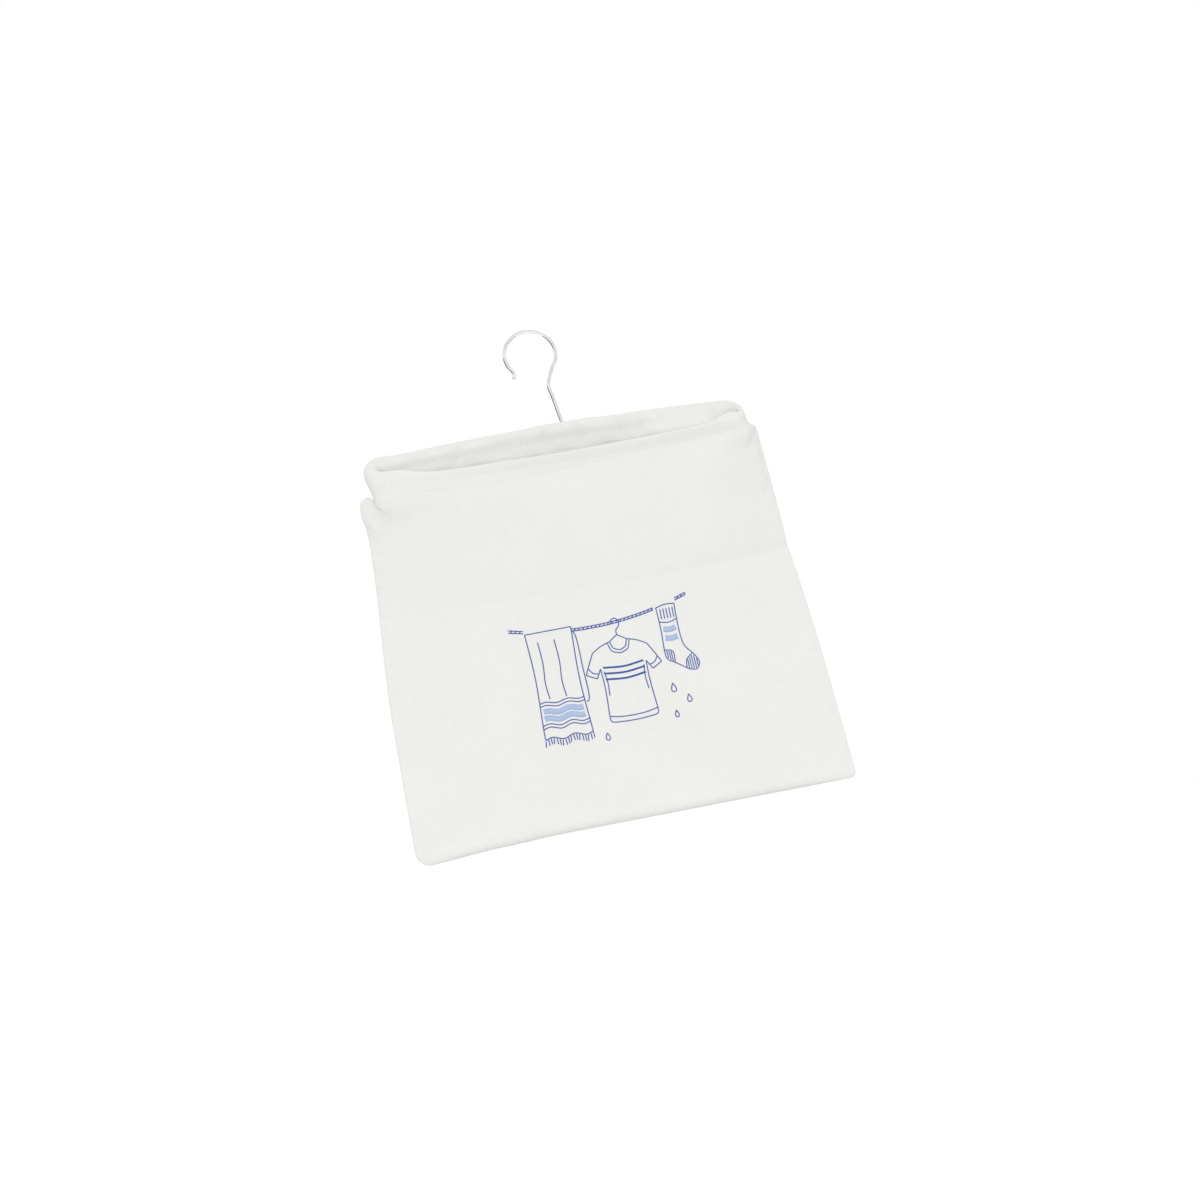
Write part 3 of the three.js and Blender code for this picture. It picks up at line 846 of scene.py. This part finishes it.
def cut_buttonhole(band):
    """The hole in the top of the casing that the hook's stem turns in."""
    bpy.ops.mesh.primitive_cylinder_add(
        radius=HOLE_R, depth=HOLE_CUT, vertices=HOLE_SIDES,
        location=SWIVEL + Vector((0, 0, HOLE_UP)))
    cutter = bpy.context.object
    cut = band.modifiers.new("buttonhole", "BOOLEAN")
    cut.object = cutter
    cut.solver = "EXACT"
    band = plain_copy(band)
    bpy.data.objects.remove(cutter)
    return band


def make_band():
    turn = np.linspace(0, 2, BAND_COLUMNS, endpoint=False)
    inner = leg_rows(turn, inner_hem(turn), -1)
    outer = leg_rows(turn, outer_hem(turn), 1)
    points = np.array(inner[::-1] + arch_rows(turn) + outer)
    down = way_down(points)
    flat = np.stack(np.meshgrid(turn * HALF_OVAL, -down), axis=-1)
    thickness = mix(BAND_T, HEM_T, smooth(down[-1] - HEM_TAPER, down[-1], down))[:, None, None]
    return cut_buttonhole(sheet_piece("band_cloth", points, flat, thickness, wrap=2 * HALF_OVAL))


# Stitches
STITCH_PITCH = 3.0 * MM
STITCH_LENGTH = 2.5 * MM
STITCH_T = 0.5 * MM
STITCH_BALL = {"Segments": 8, "Rings": 6, "Radius": 0.5}
STITCH_ABOVE_HEM = 3 * MM
STITCH_STRAY = (0.15 * MM, 4 * MM, 8.1)
HOLE_STITCHES = 30
HOLE_STITCH_R = 2.75 * MM
HOLE_STITCH_LENGTH = 1.6 * MM


def make_stitch_tree():
    """A stitch at each point, along one of its directions and flat on the cloth."""
    inputs = {"Places": "Geometry", "Length": "Float", "Thickness": "Float", "Material": "Material"}
    tree, given, result = new_tree("stitches", "GeometryNodeTree", inputs, {"Stitches": "Geometry"})
    ball = first(tree, "GeometryNodeMeshUVSphere", STITCH_BALL)
    soft = first(tree, "GeometryNodeSetShadeSmooth", {0: ball})
    along, out = (
        first(tree, "GeometryNodeInputNamedAttribute", {"Name": name}, data_type="FLOAT_VECTOR")
        for name in ("along", "out"))
    axes = {"primary_axis": "X", "secondary_axis": "Z"}
    turn = first(tree, "FunctionNodeAxesToRotation", {0: along, 1: out}, **axes)
    thickness = given["Thickness"]
    size = first(tree, "ShaderNodeCombineXYZ", {0: given["Length"], 1: thickness, 2: thickness})
    places = {"Points": given["Places"], "Instance": soft, "Rotation": turn, "Scale": size}
    sewn = first(tree, "GeometryNodeInstanceOnPoints", places)
    end_tree(tree, sewn, given["Material"], result["Stitches"])
    return tree


STITCH_TREE = make_stitch_tree()


def sew(name, places, along, out, length):
    """Stitches at the places given in the bag's frame."""
    mesh = bpy.data.meshes.new(name)
    mesh.from_pydata((places + BAG_AT).tolist(), [], [])
    for key, vectors in (("along", along), ("out", out)):
        mesh.attributes.new(key, "FLOAT_VECTOR", "POINT").data.foreach_set("vector", np.ravel(vectors))
    values = {"Length": length, "Thickness": STITCH_T, "Material": THREAD}
    return grow(link(name, mesh), STITCH_TREE, values)


def hem_stitches(name, hem, sign):
    """A row of stitches round the band, on its outside for sign 1 and its inside for -1."""
    turn = np.linspace(0, 2, round(2 * HALF_OVAL / STITCH_PITCH), endpoint=False)
    along, out, _ = ring_axes(turn)
    stray = cloth_noise(turn * HALF_OVAL, 0 * turn, *STITCH_STRAY)
    drops = hem(turn) - STITCH_ABOVE_HEM + stray
    surface = leg_offset(turn, drops, hem(turn)) + leg_ripple(turn, drops, hem(turn), sign) + BAND_T / 2
    places = ring_point(turn, drops) + out * (sign * surface)[:, None]
    return sew(name, places, along, out * sign, STITCH_LENGTH)


def buttonhole_stitches():
    """Close stitches round the hole that the stem turns in."""
    angle = np.linspace(0, 2 * math.pi, HOLE_STITCHES, endpoint=False)
    ray = np.stack([np.cos(angle), np.sin(angle), 0 * angle], axis=-1)
    across = ray[:, 1] * HOLE_STITCH_R
    top = SLEEVE_BULGE_R + BAND_T / 2
    height = np.sqrt(top**2 - across**2)
    places = np.stack([SWIVEL_X + ray[:, 0] * HOLE_STITCH_R, across, height], axis=-1)
    out = unit(np.stack([0 * across, across, height], axis=-1))
    along = unit(ray - out * np.sum(ray * out, axis=-1, keepdims=True))
    return sew("buttonhole_stitches", places, along, out, HOLE_STITCH_LENGTH)


# Hook
def bend_through(points, steps=12):
    """A smooth line through the points (centripetal Catmull-Rom), as wire bends and a pen moves."""
    p = np.asarray(points, dtype=float)
    p = np.concatenate([[2 * p[0] - p[1]], p, [2 * p[-1] - p[-2]]])
    line = []
    for a, b, c, d in zip(p, p[1:], p[2:], p[3:]):
        gaps = [math.sqrt(max(math.dist(*ends), TINY)) for ends in ((a, b), (b, c), (c, d))]
        t0, t1, t2, t3 = np.cumsum([0, *gaps])
        for t in np.linspace(t1, t2, steps, endpoint=False):
            ab = mix(a, b, (t - t0) / (t1 - t0))
            bc = mix(b, c, (t - t1) / (t2 - t1))
            cd = mix(c, d, (t - t2) / (t3 - t2))
            abc = mix(ab, bc, (t - t0) / (t2 - t0))
            bcd = mix(bc, cd, (t - t1) / (t3 - t1))
            line.append(mix(abc, bcd, (t - t1) / (t2 - t1)))
    return np.array([*line, p[-2]])


def hook_path():
    """The wire's middle, from its head in the sleeve, up the stem and round the loop to the tip."""
    centre = np.array([0, 0, HOOK_WIRE_R - HOOK_LOOP_R])
    swivel = np.array(SWIVEL)
    up = np.array([0, 0, 1.0])

    def on_loop(angle, radius):
        return centre + radius * np.array([math.cos(angle), 0, math.sin(angle)])

    shank = swivel + up * HOOK_SHANK_TOP
    neck = on_loop(HOOK_NECK_ANGLE, HOOK_LOOP_R + HOOK_NECK_OUT)
    foot = [swivel - up * HOOK_HEAD_TO, swivel - up * HOOK_HEAD_FROM, swivel + up * HOOK_SHANK_TOP / 2]
    stem = [shank, *(mix(shank, neck, share) for share in HOOK_STEM_SHARES), neck]
    angles = np.linspace(HOOK_LOOP_FROM, HOOK_LOOP_TO, HOOK_LOOP_POINTS)
    loop = [on_loop(angle, HOOK_LOOP_R) for angle in angles]
    return bend_through([*foot, *stem, *loop, loop[-1] - up * HOOK_TIP_LENGTH])


def make_wire_tree():
    """Round wire along a path, with a wider head at its start and a rounded tip."""
    inputs = {"Path": "Geometry", "Radius": "Float", "Head Radius": "Float", "Head Length": "Float",
              "Sides": "Int", "Material": "Material"}
    tree, given, result = new_tree("bent_wire", "GeometryNodeTree", inputs, {"Wire": "Geometry"})
    path = first(tree, "GeometryNodeMeshToCurve", {0: given["Path"]})
    even = first(tree, "GeometryNodeResampleCurve", {"Curve": path, "Length": HOOK_STEP}, mode="LENGTH")
    done = add(tree, "GeometryNodeSplineParameter").outputs["Length"]
    whole = add(tree, "GeometryNodeSplineLength").outputs["Length"]
    left = math_node(tree, "DIVIDE", math_node(tree, "SUBTRACT", whole, done), given["Radius"])
    short = math_node(tree, "SUBTRACT", 1.0, math_node(tree, "MINIMUM", left, 1.0))
    kept = math_node(tree, "SUBTRACT", 1.0 + HOOK_TIP_BLUNT**2, math_node(tree, "POWER", short, 2.0))
    wire = math_node(tree, "MULTIPLY", given["Radius"], math_node(tree, "SQRT", kept))
    in_head = math_node(tree, "LESS_THAN", done, given["Head Length"])
    wider = math_node(tree, "SUBTRACT", given["Head Radius"], given["Radius"])
    radius = math_node(tree, "ADD", wire, math_node(tree, "MULTIPLY", in_head, wider))
    ring = first(tree, "GeometryNodeCurvePrimitiveCircle", {"Resolution": given["Sides"], "Radius": 1.0})
    section = {"Curve": even, "Profile Curve": ring, "Scale": radius, "Fill Caps": True}
    tube = first(tree, "GeometryNodeCurveToMesh", section)
    soft = first(tree, "GeometryNodeSetShadeSmooth", {0: tube})
    end_tree(tree, soft, given["Material"], result["Wire"])
    return tree


def line_object(name, lines):
    """A mesh of open lines, each a run of points in metres."""
    points = np.concatenate(lines)
    ends = np.cumsum([len(line) for line in lines])
    edges = [(at, at + 1) for at in range(len(points) - 1) if at + 1 not in ends]
    mesh = bpy.data.meshes.new(name)
    mesh.from_pydata(points.tolist(), edges, [])
    return link(name, mesh)


def make_hook():
    values = {"Radius": HOOK_WIRE_R, "Head Radius": HOOK_HEAD_R, "Sides": HOOK_SIDES, "Material": CHROME,
              "Head Length": HOOK_HEAD_TO - HOOK_HEAD_FROM}
    return grow(line_object("hook_wire", [hook_path()]), make_wire_tree(), values)


# Print: washing on a line, in three blue inks. Its frame is in millimetres, from the middle of the print.
PRINT_AT = np.array([-1.7, -175.7])
PRINT_STEP = 0.8 * MM
LINE_WIDTH = 0.85 * MM
TINT_WIDTH = 4.4 * MM
STRIPE_WIDTH = 1.5 * MM
INK_T = 0.05 * MM
INK_LIFT = 0.06 * MM
TINT_LIFT = 0.03 * MM
ROPE_RUNS = ((-69, -58), (-22, 42), (60, 69))
ROPE_LOW_X = -6
ROPE_LOW_Y = 41
ROPE_SAG = 0.0021
ROPE_HALF = 0.9
ROPE_STEP = 3
ROPE_LEAST_POINTS = 4
TWIST_PITCH = 3.2
TWIST_LEAN = 1.8
TWIST_AFTER_START = 1.5
TWIST_BEFORE_END = 1


def rope_height(x):
    return ROPE_LOW_Y + ROPE_SAG * (x - ROPE_LOW_X) ** 2


def rope_strokes():
    """Both edges of a sagging rope between the things on it, with its twist."""
    strokes = []
    for start, end in ROPE_RUNS:
        x = np.linspace(start, end, max(ROPE_LEAST_POINTS, int((end - start) / ROPE_STEP)))
        strokes += [np.stack([x, rope_height(x) + edge], axis=-1) for edge in (-ROPE_HALF, ROPE_HALF)]
        for at in np.arange(start + TWIST_AFTER_START, end - TWIST_BEFORE_END, TWIST_PITCH):
            low = np.array([at, rope_height(at) - ROPE_HALF])
            strokes.append(np.array([low, low + (TWIST_LEAN, 2 * ROPE_HALF)]))
    return strokes


TOWEL_LEFT = -57.0
TOWEL_RIGHT = -23.0
TOWEL_TOP = 44.5
TOWEL_FOOT = -38.0
TOWEL_BORDERS = (-10.5, -13, -27.5, -30)
TOWEL_TINTS = (-17.5, -23)
TOWEL_FOLDS = (-49, -36.5)
TOWEL_SIDE_WAVE = 0.9
TOWEL_SIDE_TURN = 5
TOWEL_SIDE_POINTS = 16
TOWEL_ROW_WAVE = 1.3
TOWEL_ROW_TURN = 0.37
TOWEL_ROW_POINTS = 18
FRINGE_FROM = 0.6
FRINGE_TO = 5.2
FRINGE_SWAY = 0.5


def towel_edge(share, x):
    """x of one of the towel's sides, which hang in a slow wave."""
    return x + TOWEL_SIDE_WAVE * np.sin(TOWEL_SIDE_TURN * share + x)


def towel_row(height):
    """A line across the towel at a height in the print, following its folds."""
    share = (TOWEL_TOP - height) / (TOWEL_TOP - TOWEL_FOOT)
    x = np.linspace(towel_edge(share, TOWEL_LEFT), towel_edge(share, TOWEL_RIGHT), TOWEL_ROW_POINTS)
    wave = TOWEL_ROW_WAVE * share * np.sin((x - TOWEL_LEFT) * TOWEL_ROW_TURN)
    return np.stack([x, height + wave], axis=-1)


def towel_strokes():
    """Outline, folds, borders and fringe of a towel folded over the rope, and its other half behind it."""
    shares = np.linspace(0, 1, TOWEL_SIDE_POINTS)
    heights = mix(TOWEL_TOP, TOWEL_FOOT, shares)
    sides = [np.stack([towel_edge(shares, x), heights], axis=-1) for x in (TOWEL_LEFT, TOWEL_RIGHT)]
    rows = [towel_row(at) for at in (TOWEL_TOP, TOWEL_FOOT, *TOWEL_BORDERS)]
    folds = [bend_through([(x, 37), (x + 0.7, 20), (x - 0.5, 4), (x + 0.4, -8)]) for x in TOWEL_FOLDS]
    fringe = [np.array([(x, y - FRINGE_FROM), (x + FRINGE_SWAY * math.sin(x), y - FRINGE_TO)])
              for x, y in towel_row(TOWEL_FOOT)]
    behind = np.array([(0.6, 42), (2.6, 38), (3.2, 12), (2.6, -14), (0.8, -15)]) + (TOWEL_RIGHT, 0)
    return sides + rows + folds + fringe + [bend_through(behind)]


def towel_tints():
    """Two broad woven borders."""
    return [towel_row(at)[1:-1] for at in TOWEL_TINTS]


SHIRT_AT = np.array([10.5, 0.0])
SHIRT_STRIPES = ((15.6, 8), (15.7, 3.4), (15.5, -1.2))
STRIPE_SAG = 1.6


def mirrored(points):
    """Points of the shirt's right half, and the same on its left."""
    right = np.array(points, dtype=float)
    return [right + SHIRT_AT, right * (-1, 1) + SHIRT_AT]


def shirt_strokes():
    """A T-shirt on a hanger: outline, neck, rib, hems and creases, and the hanger's shoulders and hook."""
    outline = [(6.5, 27), (14, 24.5), (21, 20.5), (27.5, 8), (29, 4.5), (21.5, 0.5), (17.6, 7.5),
               (17.2, -8), (18.4, -30), (17.8, -33.5), (9, -35), (0, -35.4)]
    parts = [outline[0:3], outline[2:5], outline[4:6], outline[5:7], outline[6:9], outline[8:]]
    neck = [(6.5, 27), (4.6, 21.5), (0, 19.2)]
    rib = [(8.6, 26.3), (6, 19.4), (0, 16.8)]
    sleeve_hem = [(26.8, 9.4), (23.4, 5), (19.9, 4)]
    foot_hem = [(18.2, -29.6), (9, -31.2), (0, -31.6)]
    shoulder = [(6.3, 27.2), (0, 31.4)]
    crease = [(15.4, 5), (14.4, -4), (15, -14)]
    hook = [(0, 31.4), (0.2, 35), (2.8, 38), (3.6, 41.6), (1, 44.6), (-2.6, 43), (-2.4, 41)]
    parts += [neck, rib, sleeve_hem, foot_hem, shoulder, crease]
    strokes = [bend_through(side) for part in parts for side in mirrored(part)]
    return strokes + [bend_through(np.array(hook) + SHIRT_AT)]


def shirt_stripes():
    """Stripes across the chest, in the dark ink."""
    return [bend_through([(-x, y), (0, y - STRIPE_SAG), (x, y)]) + SHIRT_AT for x, y in SHIRT_STRIPES]


SOCK_AT = np.array([43.0, 0.0])
SOCK_BANDS = (28.5, 21.5)
SOCK_RIBS = np.arange(4, 14.6, 2.4)


def sock_strokes():
    """A sock with a ribbed cuff over the rope, and lines at its heel and toe."""
    front = [(16, 47), (15.4, 36), (15.2, 22), (16.6, 13), (22.6, 4.6), (25, -1.6), (22, -6.4),
             (16.6, -5.6)]
    back = [(1.4, 46), (1.6, 35), (1.2, 22), (0.6, 12), (1.4, 5.4), (6.6, 1.6), (11.6, -2), (16.6, -5.6)]
    heel = [(0.8, 12.6), (6.6, 10.4), (6.8, 1.6)]
    toe = [(21.2, 6.4), (15.8, 2), (14.6, -4.8)]
    cuff_foot = [(1.5, 34.6), (8.4, 33.2), (15.4, 35)]
    cuff_top = [(1.4, 46), (8.6, 47.6), (16, 47)]
    ribs = [[(x, 36.4), (x + 0.2, 44.6)] for x in SOCK_RIBS]
    heel_lines = [[(2.2, 11.4), (2.4, 5.6)], [(3.8, 11), (4, 4)], [(5.4, 10.4), (5.5, 3)]]
    toe_lines = [[(16.6, 2), (16.4, -5)], [(18.3, 3.4), (18.2, -5.4)], [(20, 4.6), (20, -5.7)],
                 [(21.7, 4.4), (21.8, -5.6)], [(23.4, 1.8), (23.4, -4)]]
    curves = [bend_through(part) for part in (front, back, heel, toe, cuff_foot, cuff_top)]
    lines = [np.array(line) for line in ribs + heel_lines + toe_lines]
    return [stroke + SOCK_AT for stroke in curves + lines]


def sock_tints():
    """Two bands round the leg."""
    return [bend_through([(3.4, y), (8.2, y - 0.9), (13.2, y)]) + SOCK_AT for y in SOCK_BANDS]


DROPS = ((44, -17, 3.4), (54, -27, 3), (42, -37, 2.6), (-12.5, -44, 2.8))
DROP_POINTS = 26
DROP_SLIM = 0.8
DROP_POWER = 1.5


def drop_strokes():
    """Falling drops of water, each with its place and its half height."""
    turn = np.linspace(0, 2 * math.pi, DROP_POINTS)
    outline = np.stack([DROP_SLIM * np.sin(turn) * np.sin(turn / 2) ** DROP_POWER, np.cos(turn)], axis=-1)
    return [outline * size + (x, y) for x, y, size in DROPS]


def make_print_tree():
    """Flat strokes of ink that lie on a cloth, found by its flat map."""
    inputs = {"Strokes": "Geometry", "Cloth": "Object", "Width": "Float", "Thickness": "Float",
              "Lift": "Float", "Material": "Material"}
    tree, given, result = new_tree("print", "GeometryNodeTree", inputs, {"Ink": "Geometry"})
    lines = first(tree, "GeometryNodeMeshToCurve", {0: given["Strokes"]})
    even = first(tree, "GeometryNodeResampleCurve", {"Curve": lines, "Length": PRINT_STEP}, mode="LENGTH")
    level = first(tree, "GeometryNodeSetCurveNormal", {"Curve": even}, mode="Z_UP")
    size = {"Width": given["Width"], "Height": given["Thickness"]}
    section = first(tree, "GeometryNodeCurvePrimitiveQuadrilateral", size)
    swept = {"Curve": level, "Profile Curve": section, "Scale": 1.0, "Fill Caps": True}
    ribbon = first(tree, "GeometryNodeCurveToMesh", swept)
    place = first(tree, "GeometryNodeInputPosition")
    kept = {"Geometry": ribbon, "Name": FLAT_MAP, "Value": place}
    mapped = first(tree, "GeometryNodeStoreNamedAttribute", kept, data_type="FLOAT2", domain="CORNER")
    cloth = add(tree, "GeometryNodeObjectInfo", {"Object": given["Cloth"]}).outputs["Geometry"]
    cloth_map = first(tree, "GeometryNodeInputNamedAttribute", {"Name": FLAT_MAP}, data_type="FLOAT_VECTOR")
    on_map = {"Mesh": cloth, "UV Map": cloth_map, "Sample UV": place}
    on_cloth, off_cloth = (
        first(tree, "GeometryNodeSampleUVSurface", {**on_map, "Value": field}, data_type="FLOAT_VECTOR")
        for field in (place, first(tree, "GeometryNodeInputNormal")))
    height = add(tree, "ShaderNodeSeparateXYZ", {0: place}).outputs["Z"]
    lifted = math_node(tree, "ADD", height, given["Lift"])
    proud = vector_math(tree, "SCALE", {0: off_cloth, "Scale": lifted})
    moved = {"Geometry": mapped, "Offset": proud, "Position": on_cloth}
    laid = first(tree, "GeometryNodeSetPosition", moved)
    end_tree(tree, laid, given["Material"], result["Ink"])
    return tree


PRINT_TREE = make_print_tree()


def make_ink_layer(name, strokes, width, lift, material, cloth):
    """One ink of the print, laid on the cloth."""
    lines = []
    for stroke in strokes:
        flat = (np.asarray(stroke) + PRINT_AT) * MM
        lines.append(np.column_stack([flat, np.zeros(len(flat))]))
    values = {"Cloth": cloth, "Width": width, "Thickness": INK_T, "Lift": lift, "Material": material}
    return grow(line_object(name, lines), PRINT_TREE, values)


def make_print(cloth):
    lines = rope_strokes() + towel_strokes() + shirt_strokes() + sock_strokes() + drop_strokes()
    return [
        make_ink_layer("print_tints", towel_tints() + sock_tints(), TINT_WIDTH, TINT_LIFT, INK_TINT, cloth),
        make_ink_layer("print_lines", lines, LINE_WIDTH, INK_LIFT, INK_LINE, cloth),
        make_ink_layer("print_stripes", shirt_stripes(), STRIPE_WIDTH, INK_LIFT, INK_DARK, cloth),
    ]


# Pieces
def put(piece, body, slot, *nodes):
    """Ties a piece to a body, and hides the solids that it stands for. Its slot is not used."""
    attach(piece, body)
    if nodes:
        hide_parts(*nodes)
    return piece


# The ring and the sleeve keep the shapes of their solids
for node in ("mouth_frame", "frame_sleeve"):
    solid = bpy.data.objects[node]
    solid.data.materials.clear()
    solid.data.materials.append(ZINC)

put(make_hook(), "hook", "chromed_wire", "hook")
front = put(make_panel("front_cloth", -1), "bag", "cotton", "front_panel")
back = put(make_panel("back_cloth", 1), "bag", "cotton", "back_panel")
band = put(make_band(), "bag", "cotton", "mouth_band")
inks = [put(layer, "bag", "cotton") for layer in make_print(front)]
seams = [put(row, "bag", "cotton") for row in (
    hem_stitches("hem_stitches_outside", outer_hem, 1),
    hem_stitches("hem_stitches_inside", inner_hem, -1),
    buttonhole_stitches(),
)]


# Stage and light
FLOOR_Z = -1.5
FLOOR_SIZE = 60
FLOOR_GREY = 0.65
FLOOR_GLOW = 0.6
FILL_LIGHT = 0.88
LAMP_AIM = (0, 0, -0.25)
LAMP_SIZE = 1.2
LAMP_WATTS = {"key": 11.4, "back": 6.0}
LAMP_PLACES = {"key": (-0.1, -2.0, -0.65), "back": (0.9, 1.9, -0.5)}
CARD_AIM = (0, 0, -0.03)
CARD_GREY = 0.06
CARD_SIZES = {"left_card": 1.9, "right_card": 1.3}
CARD_PLACES = {"left_card": (-1.6, 0.3, -0.1), "right_card": (1.6, 0.3, -1.0)}


def white_to_camera(tree):
    """1 for rays that see the background: straight, in metal or through glass."""
    light_path = add(tree, "ShaderNodeLightPath").outputs
    seen = math_node(tree, "MAXIMUM", light_path["Is Camera Ray"], light_path["Is Glossy Ray"])
    return math_node(tree, "MAXIMUM", seen, light_path["Is Transmission Ray"])


def make_world():
    world = bpy.data.worlds.new("studio")
    world.use_nodes = True
    tree = world.node_tree
    seen = white_to_camera(tree)
    strength = first(tree, "ShaderNodeMapRange", {"Value": seen, "To Min": FILL_LIGHT, "To Max": 1.0})
    background = tree.nodes["Background"]
    background.inputs["Color"].default_value = (1, 1, 1, 1)
    tree.links.new(strength, background.inputs["Strength"])
    bpy.context.scene.world = world


def grey_plane(name, grey, size, at):
    """A plain square of the stage, with its material's tree and shader."""
    bpy.ops.mesh.primitive_plane_add(size=size, location=at)
    plane = bpy.context.object
    plane.name = name
    material, tree, shader = new_material(name, {"Base Color": (grey, grey, grey, 1), "Roughness": 1.0})
    plane.data.materials.append(material)
    return plane, tree, shader


def make_floor():
    """A pale floor that the camera and metal see as white."""
    _, tree, shader = grey_plane("floor", FLOOR_GREY, FLOOR_SIZE, (0, 0, FLOOR_Z))
    shader.inputs["Emission Color"].default_value = (1, 1, 1, 1)
    glow = math_node(tree, "MULTIPLY", white_to_camera(tree), FLOOR_GLOW)
    tree.links.new(glow, shader.inputs["Emission Strength"])


def turned_to(at, aim, axis):
    """The rotation at a place that turns an axis to the aim."""
    return (Vector(aim) - Vector(at)).to_track_quat(axis, "Y").to_euler()


def make_lamp(name, at, watts):
    data = bpy.data.lights.new(name, "AREA")
    data.size = LAMP_SIZE
    data.energy = watts
    lamp = link(name, data)
    lamp.location = at
    lamp.rotation_euler = turned_to(at, LAMP_AIM, "-Z")
    lamp.visible_glossy = False


def make_card(name, at, size):
    """A dark card that only metal reflects."""
    card, _, _ = grey_plane(name, CARD_GREY, size, at)
    card.rotation_euler = turned_to(at, CARD_AIM, "Z")
    for unseen in ("visible_camera", "visible_diffuse", "visible_transmission", "visible_shadow"):
        setattr(card, unseen, False)


make_world()
make_floor()
for name, at in LAMP_PLACES.items():
    make_lamp(name, at, LAMP_WATTS[name])
for name, at in CARD_PLACES.items():
    make_card(name, at, CARD_SIZES[name])
bpy.context.scene.view_settings.view_transform = "Standard"
